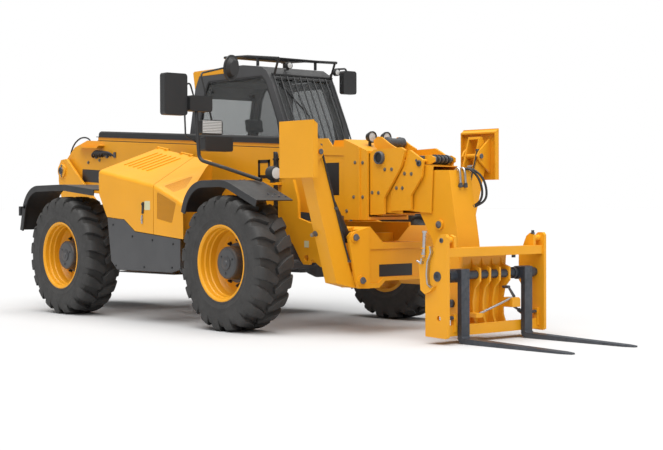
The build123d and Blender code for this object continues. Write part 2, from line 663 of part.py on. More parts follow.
with BuildPart() as lift_rod:
    with BuildSketch(LIFT_PLANE.offset(160)) as rod_end:
        Circle(LIFT_ROD_R)
    extrude(rod_end.sketch, amount=LIFT_LENGTH - 160)
    round_y(LIFT_EYE, (-58, 58), 62)
    round_y(LIFT_EYE, (-80, 80), LIFT_EYE_R, mode=Mode.SUBTRACT)
pieces["lift_rod"] = lift_rod

# ---------------------------------------------------------------- carriage and forks
SHAFT = (2600, 545)           # x, z of the shaft that the forks hang on
SHAFT_R = 36
LOCK_BAR = (2612, 209)        # x, z of the attachment lock holes, whose head end is wider
LOCK_HOLES = ((-1, 22), (1, 18))
PLATE_Y = (575, 605)
CLAW_Y = (606, 630)
FORK_Y = 385
FORK_WIDTH = 95
FORK_FACE_X = 2700
RIB_Y = (-150, -30, 90, 210)
# hook-shaped claw beside each end plate
CLAW_SIDE = (
    (2479, 787), (2411, 640), (2433, 430), (2480, 400), (2534, 419), (2590, 470), (2540, 450), (2500, 480),
    (2490, 560), (2500, 660), (2540, 740), (2530, 790),
)

END_PLATE = (
    (2462, 58), (2462, 420), (2425, 470), (2425, 700), (2480, 775), (2560, 775), (2600, 850),
    (2640, 882), (2690, 882), (2708, 860), (2708, 62), (2690, 50),
)
UPPER_EAR = ((2560, 760), (2600, 850), (2640, 878), (2680, 860), (2680, 760))
TOE_PLATE = ((2628, 62), (2648, 62), (2648, 150), (2628, 150))
BACK_PLATE = ((2490, 90), (2515, 90), (2560, 740), (2535, 740))
BACK_EDGE = ((2535, 700), (2535, 770), (2625, 770), (2625, 700))
BACK_HALF = 265
RIB_SIDE = (
    (2505, 90), (2645, 90), (2600, 130), (2572, 200), (2568, 330), (2590, 430), (2645, 490),
    (2645, 600), (2570, 625), (2552, 700), (2535, 700),
)
RIB_HALF = 11
NOSE_LUG = ((2270, 230), (2270, 350), (2340, 385), (2510, 560), (2500, 90), (2400, 90))

with BuildPart() as carriage:
    for side in (-1, 1):
        side_shape(END_PLATE, span(side, *PLATE_Y))
        side_shape(CLAW_SIDE, span(side, CLAW_Y[0] - 2, CLAW_Y[1]))
        side_shape(UPPER_EAR, span(side, 470, 500))
        round_y((2646, 834), span(side, 495, 580), 26)
    block((2620, 2692), (-576, 576), (700, 772))
    block((2462, 2648), (-576, 576), (62, 96))
    side_shape(TOE_PLATE, (-576, 576))
    side_shape(BACK_PLATE, (-BACK_HALF, BACK_HALF))
    side_shape(BACK_EDGE, (-BACK_HALF, BACK_HALF))
    for rib_y in RIB_Y:
        side_shape(RIB_SIDE, (rib_y - RIB_HALF, rib_y + RIB_HALF))
    for side in (-1, 1):
        side_shape(NOSE_LUG, span(side, 140, 168))
    round_y(NOSE_PIVOT, (-185, 185), CARRIAGE_PIN_R, mode=Mode.SUBTRACT)
    round_y(SHAFT, (-650, 650), SHAFT_R, mode=Mode.SUBTRACT)
    for side, lock_r in LOCK_HOLES:
        round_y(LOCK_BAR, span(side, 560, 640), lock_r, mode=Mode.SUBTRACT)
pieces["carriage"] = carriage

with BuildPart() as carriage_pins:
    round_y(SHAFT, (-590, 590), SHAFT_R - 1.1)
    round_y(NOSE_PIVOT, (-180, 180), CARRIAGE_PIN_R - 1.1)
pieces["carriage_pins"] = carriage_pins

FORK_BACK_X = FORK_FACE_X - 45
TIP_START_X = HALF_LENGTH - 90
TIP_NARROWING = 28
SLEEVE_Y = (FORK_Y - FORK_WIDTH / 2, FORK_Y + 120)
for name, side in SIDES:
    with BuildPart() as fork:
        fork_y = span(side, FORK_Y - FORK_WIDTH / 2, FORK_Y + FORK_WIDTH / 2)
        side_shape(
            (
                (FORK_BACK_X, 40), (FORK_BACK_X, 600), (FORK_FACE_X, 600), (FORK_FACE_X, 60),
                (FORK_FACE_X + 15, 45), (HALF_LENGTH, 12), (HALF_LENGTH, 0), (FORK_FACE_X, 0),
                (FORK_FACE_X - 30, 12),
            ),
            fork_y,
        )
        for edge_y, inwards in ((fork_y[0], TIP_NARROWING), (fork_y[1], -TIP_NARROWING)):
            plan_shape(
                ((TIP_START_X, edge_y), (HALF_LENGTH + 5, edge_y), (HALF_LENGTH + 5, edge_y + inwards)),
                (-5, 100),
                mode=Mode.SUBTRACT,
            )
        round_y(SHAFT, span(side, *SLEEVE_Y), 56)
        block((SHAFT[0], FORK_FACE_X - 40), fork_y, (SHAFT[1] - 40, SHAFT[1] + 50))
        round_y(SHAFT, (-900, 900), SHAFT_R, mode=Mode.SUBTRACT)
    pieces[f"fork_{name}"] = fork

# ---------------------------------------------------------------- cab
CAB_SIDE = (
    (-300, 745), (-330, 1600), (-425, 1967), (-614, 2368), (-700, 2482), (-790, 2532), (-1080, 2566),
    (-1300, 2566), (-1300, 2500), (-1850, 2500), (-1925, 2370), (-2030, 1880), (-2030, 1370), (-1640, 1330),
    (-1470, 1230), (-1440, 745),
)
ROOF_CAP = (
    (-1932, 2366), (-1965, 2545), (-1940, 2560), (-1301, 2566), (-1301, 2501), (-1852, 2501), (-1927, 2371),
)
DOOR_OPENING = (
    (-405, 800), (-430, 1600), (-525, 1975), (-710, 2370), (-770, 2425), (-1380, 2425), (-1380, 800),
)
DOOR_WINDOW = (
    (-490, 1180), (-515, 1600), (-605, 1980), (-775, 2335), (-820, 2360), (-1310, 2360), (-1310, 1180),
)
SIDE_WINDOW = (
    (-415, 1500), (-430, 1620), (-520, 1985), (-700, 2375), (-770, 2440), (-1690, 2440), (-1760, 2330),
    (-1880, 1880), (-1880, 1500),
)
REAR_QUARTER = ((-1480, 1560), (-1480, 2400), (-1770, 2400), (-1840, 2280), (-1930, 1860), (-1930, 1560))
WINDOW_CORNER = 40
# cuts through the cab's side walls, from 5 mm outside to 5 mm inside
RIGHT_WALL = (CAB_Y[0] - 5, CAB_Y[0] + CAB_WALL + 5)
LEFT_WALL = (CAB_Y[1] - CAB_WALL - 5, CAB_Y[1] + 5)
CAB_STEP = (455, 985)         # the cab floor steps up over the rail: y, z
SCREEN_LOW = 1420
ROOF_WINDOW_X = (-1240, -880)
HINGE_AT = (-1377, 1162)      # door hinge axis, x, y
HINGE_HEIGHTS = (1020, 1560, 2200)
HINGE_R = 11

with BuildPart() as cab_room:
    side_shape(CAB_SIDE, (CAB_Y[0] + CAB_WALL, CAB_Y[1] - CAB_WALL), inset=CAB_WALL)
    block((-2100, 0), (0, CAB_STEP[0] + CAB_WALL), (0, CAB_STEP[1] + CAB_WALL), mode=Mode.SUBTRACT)

with BuildPart() as cab_frame:
    side_shape(CAB_SIDE, CAB_Y)
    block((-2100, 0), (0, CAB_STEP[0]), (0, CAB_STEP[1]), mode=Mode.SUBTRACT)
    add(cab_room.part, mode=Mode.SUBTRACT)
    side_shape(DOOR_OPENING, LEFT_WALL, corner=WINDOW_CORNER, mode=Mode.SUBTRACT)
    side_shape(SIDE_WINDOW, RIGHT_WALL, corner=WINDOW_CORNER, mode=Mode.SUBTRACT)
    side_shape(REAR_QUARTER, LEFT_WALL, corner=WINDOW_CORNER, mode=Mode.SUBTRACT)
    # windscreen, back window and roof window
    block((-1000, -200), (CAB_Y[0] + 60, CAB_Y[1] - 60), (SCREEN_LOW, 2400), mode=Mode.SUBTRACT)
    block((-2100, -1900), (CAB_Y[0] + 60, CAB_Y[1] - 60), (1560, 2300), mode=Mode.SUBTRACT)
    block(ROOF_WINDOW_X, (CAB_Y[0] + 110, CAB_Y[1] - 110), (2420, 2600), mode=Mode.SUBTRACT)
    # lower halves of the door hinges
    for z in HINGE_HEIGHTS:
        round_z(HINGE_AT, (z - 42, z - 2), HINGE_R)
        block((HINGE_AT[0] - 40, HINGE_AT[0] - 4), (CAB_Y[1] - 10, HINGE_AT[1] + 3), (z - 42, z - 2))
pieces["cab_frame"] = cab_frame

with BuildPart() as cab_roof:
    side_shape(ROOF_CAP, CAB_Y)
pieces["cab_roof"] = cab_roof

GLASS = 6
SCREEN_GLASS = (
    (-335, 1421), (-342, 1596), (-437, 1962), (-626, 2362), (-655, 2399), (-663, 2399), (-632, 2359),
    (-443, 1959), (-348, 1595), (-341, 1421),
)
BACK_GLASS = ((-2018, 1561), (-2018, 1880), (-1929, 2299), (-1935, 2299), (-2024, 1880), (-2024, 1561))
with BuildPart() as cab_glass:
    side_shape(SIDE_WINDOW, (CAB_Y[0] + 15, CAB_Y[0] + 15 + GLASS), inset=1, corner=WINDOW_CORNER)
    side_shape(REAR_QUARTER, (CAB_Y[1] - 15 - GLASS, CAB_Y[1] - 15), inset=1, corner=WINDOW_CORNER)
    screen_y = (CAB_Y[0] + 61, CAB_Y[1] - 61)
    side_shape(SCREEN_GLASS, screen_y)
    side_shape(BACK_GLASS, screen_y)
    block(
        (ROOF_WINDOW_X[0] + 1, ROOF_WINDOW_X[1] - 1),
        (CAB_Y[0] + 111, CAB_Y[1] - 111),
        (2530, 2530 + GLASS),
    )
pieces["cab_glass"] = cab_glass

DOOR_Y = (CAB_Y[1] - CAB_WALL + 5, CAB_Y[1])
with BuildPart() as cab_door:
    side_shape(DOOR_OPENING, DOOR_Y, inset=7, corner=WINDOW_CORNER)
    side_shape(DOOR_WINDOW, (DOOR_Y[0] - 5, DOOR_Y[1] + 5), corner=WINDOW_CORNER, mode=Mode.SUBTRACT)
    for z in HINGE_HEIGHTS:
        round_z(HINGE_AT, (z + 2, z + 42), HINGE_R)
        block((HINGE_AT[0] + 5, HINGE_AT[0] + 45), (CAB_Y[1] - 5, HINGE_AT[1] + 3), (z + 2, z + 42))
    # outer handle
    block((-500, -470), (CAB_Y[1] - 5, CAB_Y[1] + 22), (1050, 1080))
    block((-500, -470), (CAB_Y[1] + 12, CAB_Y[1] + 22), (1050, 1190))
pieces["cab_door"] = cab_door

with BuildPart() as door_glass:
    side_shape(DOOR_WINDOW, (CAB_Y[1] - 15 - GLASS, CAB_Y[1] - 15), inset=1, corner=WINDOW_CORNER)
pieces["door_glass"] = door_glass

# bars over the roof and down the windscreen
ROOF_RAIL = ((-1463, 2675), (-1072, 2658), (-560, 2600))
GUARD_SIDES = (CAB_Y[0] + 50, CAB_Y[1] - 20)
RUNG_X = (-1440, -1330, -1220, -1110, -1000, -890, -780, -670, -580)
SCREEN_BARS = 10
SCREEN_PATH = ((-632, 2440), (-395, 1950), (-262, 1640), (-245, 1445))
ROOF_LEGS = ((-1420, 2566, 2672), (-900, 2548, 2640))   # x, foot, top
GUARD_FACETS = 6
# radii of the guards' bars
RAIL_R = 15
LEG_BAR_R = 16
RUNG_R = 9
SCREEN_BAR_R = 8
CROSS_BAR_R = 13
STAY_BAR_R = 12
ROOF_FRONT = (-667, 2455)     # where the upper stays meet the roof's edge
with BuildPart() as guards:
    for y in GUARD_SIDES:
        for start, end in zip(ROOF_RAIL, ROOF_RAIL[1:]):
            bar((start[0], y, start[1]), (end[0], y, end[1]), RAIL_R, sides=GUARD_FACETS)
        for x, foot_z, top_z in ROOF_LEGS:
            bar((x, y, foot_z), (x, y, top_z), LEG_BAR_R, sides=GUARD_FACETS)
    for x in RUNG_X:
        near, far = ROOF_RAIL[:2] if x < ROOF_RAIL[1][0] else ROOF_RAIL[1:]
        z = near[1] + (x - near[0]) * (far[1] - near[1]) / (far[0] - near[0])
        bar((x, GUARD_SIDES[0], z), (x, GUARD_SIDES[1], z), RUNG_R, sides=GUARD_FACETS)
    for index in range(SCREEN_BARS):
        y = CAB_Y[0] + 40 + index * (CAB_Y[1] - CAB_Y[0] - 70) / (SCREEN_BARS - 1)
        for start, end in zip(SCREEN_PATH, SCREEN_PATH[1:]):
            bar((start[0], y, start[1]), (end[0], y, end[1]), SCREEN_BAR_R, sides=GUARD_FACETS)
    for x, z in (SCREEN_PATH[0], SCREEN_PATH[-1]):
        bar((x, CAB_Y[0] + 30, z), (x, CAB_Y[1] - 20, z), CROSS_BAR_R, sides=GUARD_FACETS)
    for y in (CAB_Y[0] + 50, CAB_Y[1] - 40):
        for start, end in (
            (SCREEN_PATH[-1], (-320, SCREEN_PATH[-1][1])),
            (SCREEN_PATH[0], ROOF_RAIL[2]),
            (SCREEN_PATH[0], ROOF_FRONT),
        ):
            bar((start[0], y, start[1]), (end[0], y, end[1]), STAY_BAR_R, sides=GUARD_FACETS)
pieces["cab_guards"] = guards

SEAT_X = -1120
SEAT_Y = 720
# stack of the seat: half width, z low, z high
SEAT_STACK = ((170, 791, 1000), (130, 990, 1190), (250, 1180, 1310))
with BuildPart() as seat:
    for half, z_low, z_high in SEAT_STACK:
        block((SEAT_X - half, SEAT_X + half), (SEAT_Y - half, SEAT_Y + half), (z_low, z_high))
    side_shape(
        ((SEAT_X - 250, 1250), (SEAT_X - 360, 1880), (SEAT_X - 270, 1900), (SEAT_X - 150, 1250)),
        (SEAT_Y - 230, SEAT_Y + 230),
    )
    side_shape(
        ((SEAT_X - 345, 1860), (SEAT_X - 375, 2050), (SEAT_X - 300, 2065), (SEAT_X - 270, 1880)),
        (SEAT_Y - 130, SEAT_Y + 130),
    )
pieces["seat"] = seat

WHEEL_AT = (-700, 1480)       # middle of the steering wheel, x, z
WHEEL_R = 185
WHEEL_SPOKES = 3
with BuildPart() as console:
    side_shape(
        ((-400, 791), (-400, 1400), (-520, 1400), (-600, 791)),
        (CAB_STEP[0] + CAB_WALL + 1, CAB_Y[1] - 200),
    )
    bar((-520, SEAT_Y, 1300), (WHEEL_AT[0], SEAT_Y, WHEEL_AT[1]), 25)
    with Locations(Plane(origin=(WHEEL_AT[0], SEAT_Y, WHEEL_AT[1]), z_dir=(-0.5, 0, 0.85))):
        Cylinder(WHEEL_R, 24)
        Cylinder(WHEEL_R - 26, 30, mode=Mode.SUBTRACT)
        Cylinder(34, 24)
        for spoke in range(WHEEL_SPOKES):
            with Locations(Location((0, 0, 0), (0, 0, spoke * 360 / WHEEL_SPOKES))):
                Box(WHEEL_R - 10, 20, 10, align=(Align.MIN, Align.CENTER, Align.CENTER))
pieces["console"] = console

# ---------------------------------------------------------------- engine pod, tank, fenders
POD_PLAN = ((-1587, -1150), (-118, -1150), (-615, -450), (-1587, -450))
SEAM_OUTER = (-603, -1150)
SEAM_INNER = (-915, -450)
SEAM_GAP = 6
POD_WALL = 14
TOP_POINT = (-603, -1150, 1310)       # where the bonnet's and the front panel's tops meet the side
BONNET_TOP = Plane(origin=TOP_POINT, x_dir=(984, 0, -161), z_dir=(0.155, -0.318, 0.935))
PANEL_TOP = Plane(origin=TOP_POINT, x_dir=(485, 0, -189), z_dir=(0.33, -0.33, 0.88))
RIDGES_X = (-850, -770, -690, -610, -530, -450)   # along the bonnet's top from the seam
RIDGE_MID = 435
RIDGE_SIZE = (24, 410)
MESH_SIDE = ((-560, 1275), (-205, 1150), (-285, 930), (-565, 976))
MESH_TOP = ((60, 50), (410, 50), (66, 455))       # on the front panel's top
MESH_DEPTH = 5


def is_rounded(edge):
    """Return whether a corner of the engine pod is rounded: its outer top edges and the two rear ones."""
    middle = edge @ 0.5
    outer = middle.Y < -1149 and (middle.Z > 1150 or middle.X < -1500)
    rear_top = middle.X < -1586 and middle.Z > 1500
    return outer or rear_top


with BuildPart() as pod:
    plan_shape(POD_PLAN, (460, 1800))
    split(bisect_by=BONNET_TOP, keep=Keep.BOTTOM)
    split(bisect_by=PANEL_TOP, keep=Keep.BOTTOM)
    fillet(pod.edges().filter_by(is_rounded), 45)

with BuildPart() as pod_shell:
    add(pod.part)
    offset(
        amount=-POD_WALL,
        openings=[pod_shell.faces().sort_by(Axis.Z)[0], pod_shell.faces().sort_by(Axis.Y)[-1]],
    )

UPPER_SIDE = (
    (-1590, 2000), (-1590, 1290), (-1408, 1004), (-1103, 986), (-913, 872), (-152, 809), (-100, 809),
    (-100, 2000),
)
with BuildPart() as bonnet:
    add(pod_shell.part)
    side_shape(UPPER_SIDE, (-1400, -100), mode=Mode.INTERSECT)
    plan_shape((SEAM_OUTER, (0, -1150), (0, -450), SEAM_INNER), (400, 1900), mode=Mode.SUBTRACT)
    # raised ridges over the radiator
    with BuildSketch(BONNET_TOP.offset(-2)) as ridges:
        with Locations(*[(x, RIDGE_MID) for x in RIDGES_X]):
            SlotOverall(RIDGE_SIZE[1], RIDGE_SIZE[0], rotation=90)
    extrude(ridges.sketch, amount=10)
    # hinge barrels on short leaves, one each side of a post
    for x_low, x_high, z_high in POD_POSTS:
        for x, end in ((x_low - 50, x_low - 3), (x_high + 3, x_high + 50)):
            bar(hinge_point(x), hinge_point(end), BONNET_HINGE_R)
            leaf_z = hinge_point(end)[2]
            block((x, end), (-470, BONNET_HINGE[0][1]), (leaf_z - 8, leaf_z + 2))
pieces["bonnet"] = bonnet

with BuildPart() as front_panel:
    add(pod_shell.part)
    side_shape(UPPER_SIDE, (-1400, -100), mode=Mode.INTERSECT)
    plan_shape(
        (
            (-1700, -1200), (SEAM_OUTER[0] + SEAM_GAP, -1200), (SEAM_OUTER[0] + SEAM_GAP, -1150),
            (SEAM_INNER[0] + SEAM_GAP, -450), (SEAM_INNER[0] + SEAM_GAP, -400), (-1700, -400),
        ),
        (400, 1900),
        mode=Mode.SUBTRACT,
    )
    # recesses that hold the mesh panels
    side_shape(MESH_SIDE, (-1160, -1150 + MESH_DEPTH), corner=30, mode=Mode.SUBTRACT)
    side_shape(MESH_TOP, (-20, MESH_DEPTH), plane=PANEL_TOP, corner=30, mode=Mode.SUBTRACT)
pieces["pod_front_panel"] = front_panel

SKIRT_TOP = ((-1402, 998), (-1106, 980), (-916, 866), (-152, 803))
SKIRT_LOW = ((-171, 504), (-315, 471), (-1251, 467), (-1330, 530))
# in plan the front end turns inwards, clear of the steered wheel
SKIRT_PLAN = ((-1420, -1150), (-165, -1150), (-560, -600), (-1420, -600))
with BuildPart() as skirt_form:
    plan_shape(SKIRT_PLAN, (440, 1010))
    side_shape((*SKIRT_TOP, *SKIRT_LOW), (-1160, -590), mode=Mode.INTERSECT)
with BuildPart() as skirt:
    add(skirt_form.part)
    low_edges = skirt.faces().sort_by(Axis.Y)[0].edges().filter_by(lambda edge: (edge @ 0.5).Z < 550)
    chamfer(low_edges, 32)
    plan_shape(
        ((-1420, -1138), (-188, -1138), (-574, -590), (-1420, -590)),
        (478, 1010),
        mode=Mode.SUBTRACT,
    )
pieces["side_skirt"] = skirt

with BuildPart() as engine:
    block((-1270, -650), (-1060, -560), (640, 1180))
    chamfer(engine.edges().filter_by(Axis.X), 60)
pieces["engine_block"] = engine

TANK_X = (-1250, -420)
with BuildPart() as tank:
    block(TANK_X, (480, 1080), (430, 640))
    fillet(tank.edges().filter_by(Axis.X), 40)
    block((TANK_X[0] + 100, TANK_X[1] - 100), (1070, 1180), (430, 460))
    for x in (TANK_X[0] + 100, TANK_X[1] - 130):
        block((x, x + 30), (1070, 1180), (430, 600))
pieces["tank_and_step"] = tank

FENDER_Y = (770, 1180)
FENDER_PLATE = 12
FENDER_LIP = 64
# fender: axle x, then path of its top as offsets from the axle and heights, and bend radii
FENDERS = (
    (FRONT_AXLE_X, ((-600, 1060), (-500, 1340), (60, 1345), (520, 1165)), (330, 500)),
    (REAR_AXLE_X, ((-830, 860), (-720, 1325), (60, 1335), (655, 1278)), (330, 900)),
)
with BuildPart() as fenders:
    for axle_x, outline, bends in FENDERS:
        path = [(axle_x + x, z) for x, z in outline]
        for side in (-1, 1):
            arch(path, bends, span(side, *FENDER_Y), FENDER_PLATE)
            arch(path, bends, span(side, FENDER_Y[1] - 14, FENDER_Y[1]), FENDER_LIP)
pieces["fenders"] = fenders

# ---------------------------------------------------------------- mirrors and lamps
MAST = ((655, -850, 1342), (101, -850, 1466), (-163, -930, 1540), (-161, -950, 1746), (-190, -950, 2110))
MIRROR_STAY = (
    (-190, -930, 1700), (-200, -1060, 1765), (-200, -1075, 2140), (-205, -1020, 2300), (-200, -940, 2060),
)
ROUND_STAY = ((-195, -740, 1840), (-200, -885, 2350), (-330, -480, 2440))
ROUND_MIRROR = Plane(origin=(-350, -420, 2440), z_dir=(0.94, 0.32, -0.1))
# mirror housing: x, y, z ranges and the radius of its upright corners
HOUSINGS = (
    ((-250, -180), (-1305, -1049), (1948, 2334), 30),
    ((-245, -150), (-1040, -786), (1990, 2136), 22),
    ((-205, -150), (-915, -667), (1778, 1914), 22),
    ((-240, -150), (-870, -546), (1624, 1760), 22),
    ((-505, -440), (1125, 1305), (2270, 2512), 28),
)
LEFT_STAY = ((-675, 1140, 2472), (-600, 1150, 2538), (-490, 1190, 2538), (-475, 1215, 2480))
with BuildPart() as mirrors:
    bent_tube(MAST, 17, 70)
    bent_tube(MIRROR_STAY, 8, 25)
    bent_tube(ROUND_STAY, 9, 40)
    bent_tube(LEFT_STAY, 10, 18)
    with BuildSketch(ROUND_MIRROR):
        Circle(125)
    extrude(amount=14)
    with BuildSketch(ROUND_MIRROR):
        Circle(118)
    extrude(amount=45, taper=45)
    for x_range, y_range, z_range, corner in HOUSINGS:
        with BuildSketch(Plane.YZ.offset(x_range[0])) as outline:
            with Locations(((y_range[0] + y_range[1]) / 2, (z_range[0] + z_range[1]) / 2)):
                RectangleRounded(y_range[1] - y_range[0], z_range[1] - z_range[0], corner)
        extrude(outline.sketch, amount=x_range[1] - x_range[0])
pieces["mirrors"] = mirrors

ROOF_LAMPS = ((-640, 562, 2545), (-520, 1110, 2497))   # x of the face, y, z
ROOF_LAMP_R = 36
# foot of each roof lamp: x, y and z ranges
LAMP_FEET = (((-722, -665), (552, 572), (2497, 2509)), ((-590, -558), (1100, 1120), (2490, 2504)))
HEAD_LAMP = (870, 850, 1400)  # x of its face, distance from the mid-plane, z
TAIL_LAMP = ((-3135, -3100), (1010, 1170), (1010, 1110))
with BuildPart() as lamps:
    for (x, y, z), foot in zip(ROOF_LAMPS, LAMP_FEET):
        round_x((y, z), (x - 40, x), ROOF_LAMP_R)
        block(*foot)
    for side in (-1, 1):
        x, y, z = HEAD_LAMP
        round_x((side * y, z), (x - 80, x), 62)
        block((x - 70, x - 30), span(side, y - 15, y + 15), (1315, z - 40))
        x_range, y_range, z_range = TAIL_LAMP
        block(x_range, span(side, *y_range), z_range)
        block((x_range[1] - 5, x_range[1] + 38), span(side, 1060, 1120), (1040, 1080))
pieces["lamps"] = lamps

# ---------------------------------------------------------------- write one file for each piece
os.makedirs("parts", exist_ok=True)
for label, builder in pieces.items():
    builder.part.label = label
    export_step(builder.part, f"parts/{label}.step")
    print(label, len(builder.part.solids()), round(builder.part.volume / 1e6, 2))
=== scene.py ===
"""Looks of the telehandler: finishes, small parts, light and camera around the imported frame."""

import json
import math

import bmesh
import bpy
from mathutils import Matrix, Vector


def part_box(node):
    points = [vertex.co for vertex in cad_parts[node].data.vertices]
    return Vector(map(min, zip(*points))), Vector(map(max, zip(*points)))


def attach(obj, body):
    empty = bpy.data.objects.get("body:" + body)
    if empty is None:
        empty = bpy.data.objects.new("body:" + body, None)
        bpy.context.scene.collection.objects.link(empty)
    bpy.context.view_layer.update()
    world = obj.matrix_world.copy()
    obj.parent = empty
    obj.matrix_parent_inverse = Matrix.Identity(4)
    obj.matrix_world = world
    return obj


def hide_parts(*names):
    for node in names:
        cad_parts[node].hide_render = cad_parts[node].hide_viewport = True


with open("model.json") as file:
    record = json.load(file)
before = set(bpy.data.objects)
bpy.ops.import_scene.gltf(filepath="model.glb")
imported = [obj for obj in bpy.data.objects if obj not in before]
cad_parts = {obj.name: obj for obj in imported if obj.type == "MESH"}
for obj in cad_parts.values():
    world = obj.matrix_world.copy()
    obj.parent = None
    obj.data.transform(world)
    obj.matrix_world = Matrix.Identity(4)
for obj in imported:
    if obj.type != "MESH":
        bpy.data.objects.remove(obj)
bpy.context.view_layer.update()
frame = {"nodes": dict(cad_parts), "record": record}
RECORD = frame["record"]

# ---------------------------------------------------------------- camera, stage and light
CAMERA_AT = Vector((10.438, -8.634, 1.137))
CAMERA_TURN = (0.84867, -0.0158222, -0.0033834)   # yaw, pitch, roll
CAMERA_LENS = 76.16
FLOOR_TONE = 0.56
FLOOR_HALF = 200
SOFT_LIGHT = 0.38
# lamps: where the light comes from, how wide it is in degrees, strength
LAMPS = (
    ("overhead", (0.12, -0.1, 1.0), 75, 4.2),
    ("key", (0.62, -0.62, 0.6), 35, 0.7),
)
LAMP_DISTANCE = 12


def place_camera():
    """Camera at the photograph's viewing angle."""
    yaw, pitch, roll = CAMERA_TURN
    data = bpy.data.cameras.new("camera")
    data.lens = CAMERA_LENS
    data.sensor_width = 36
    data.clip_end = 200
    camera = bpy.data.objects.new("camera", data)
    bpy.context.scene.collection.objects.link(camera)
    turn = Matrix.Rotation(yaw, 4, "Z") @ Matrix.Rotation(math.pi / 2 + pitch, 4, "X")
    turn = turn @ Matrix.Rotation(roll, 4, "Z")
    camera.matrix_world = Matrix.Translation(CAMERA_AT) @ turn
    bpy.context.scene.camera = camera


def new_material(name):
    """Empty node material: the material, its tree and its output node."""
    material = bpy.data.materials.new(name)
    material.use_nodes = True
    material.node_tree.nodes.clear()
    return material, material.node_tree, add(material.node_tree, "OutputMaterial")


def add(tree, kind, **inputs):
    """Shader node whose inputs, named with _ for a space, are linked to a socket or set to a constant."""
    node = tree.nodes.new(f"ShaderNode{kind}")
    for name, value in inputs.items():
        socket = node.inputs[name.replace("_", " ")]
        if isinstance(value, bpy.types.NodeSocket):
            tree.links.new(value, socket)
        else:
            socket.default_value = value
    return node


def combine(tree, operation, one, two):
    """Result of a sum on two sockets."""
    node = add(tree, "Math")
    node.operation = operation
    tree.links.new(one, node.inputs[0])
    tree.links.new(two, node.inputs[1])
    return node.outputs[0]


def mix_shaders(tree, factor, one, two, output):
    """Blend two shaders into the output node."""
    choose = add(tree, "MixShader")
    for socket, source in zip(choose.inputs, (factor, one.outputs[0], two.outputs[0])):
        tree.links.new(source, socket)
    tree.links.new(choose.outputs[0], output.inputs[0])


def build_stage():
    """Pale floor that takes the shadow and is white where the light reaches it."""
    material, tree, output = new_material("floor")
    diffuse = add(tree, "BsdfDiffuse", Color=(FLOOR_TONE, FLOOR_TONE, FLOOR_TONE, 1))
    tree.links.new(diffuse.outputs[0], output.inputs[0])
    mesh = bpy.data.meshes.new("floor")
    corners = ((-1, -1), (1, -1), (1, 1), (-1, 1))
    mesh.from_pydata([(x * FLOOR_HALF, y * FLOOR_HALF, 0) for x, y in corners], [], [(0, 1, 2, 3)])
    floor = bpy.data.objects.new("floor", mesh)
    floor.location.z = -0.001
    bpy.context.scene.collection.objects.link(floor)
    mesh.materials.append(material)


def build_light():
    """Soft studio light: a plain surround, wide light from above and some from the front right."""
    world = bpy.data.worlds.new("surround")
    bpy.context.scene.world = world
    world.use_nodes = True
    tree = world.node_tree
    tree.nodes.clear()
    soft = add(tree, "Background", Color=(1, 1, 1, 1), Strength=SOFT_LIGHT)
    white = add(tree, "Background", Color=(1, 1, 1, 1), Strength=1.0)
    # the eye meets plain white, directly or through glass, while the machine is lit by the soft surround
    path = add(tree, "LightPath")
    seen = combine(tree, "MAXIMUM", path.outputs["Is Camera Ray"], path.outputs["Is Transmission Ray"])
    mix_shaders(tree, seen, soft, white, add(tree, "OutputWorld"))
    for name, come_from, width, strength in LAMPS:
        data = bpy.data.lights.new(name, "SUN")
        data.angle = math.radians(width)
        data.energy = strength
        lamp = bpy.data.objects.new(name, data)
        lamp.rotation_euler = Vector(come_from).to_track_quat("Z", "Y").to_euler()
        lamp.location = Vector(come_from) * LAMP_DISTANCE
        bpy.context.scene.collection.objects.link(lamp)


# ---------------------------------------------------------------- materials
DUST = (0.62, 0.58, 0.5)


def noise(tree, scale, detail, stretch=(1, 1, 1)):
    """Noise in object coordinates; its value is about 0 to 1."""
    place = add(tree, "TexCoord").outputs["Object"]
    mapping = add(tree, "Mapping", Vector=place, Scale=stretch)
    texture = add(tree, "TexNoise", Vector=mapping.outputs[0], Scale=scale, Detail=detail, Roughness=0.55)
    return texture.outputs["Fac"]


def ramp(tree, source, low, high):
    """Colour that runs from one to another over the usual span of a noise."""
    node = add(tree, "ValToRGB", Fac=source)
    for element, place, colour in zip(node.color_ramp.elements, (0.3, 0.7), (low, high)):
        element.position = place
        element.color = (*colour, 1)
    return node.outputs["Color"]


def span_value(tree, source, low, high, start=0.3, end=0.7):
    """Map a span of a value, by default the usual span of a noise, onto low..high."""
    node = add(tree, "MapRange", Value=source, From_Min=start, From_Max=end, To_Min=low, To_Max=high)
    return node.outputs["Result"]


def lay_over(tree, paint, colour, where, patches):
    """Second colour over the paint where one value is high, broken up by patches."""
    mix = tree.nodes.new("ShaderNodeMix")
    mix.data_type = "RGBA"
    tree.links.new(combine(tree, "MULTIPLY", where, patches), mix.inputs["Factor"])
    tree.links.new(paint, mix.inputs["A"])
    mix.inputs["B"].default_value = (*colour, 1)
    return mix.outputs["Result"]


def shade(colour, factor):
    """Colour made lighter or darker."""
    return tuple(min(1, channel * factor) for channel in colour)


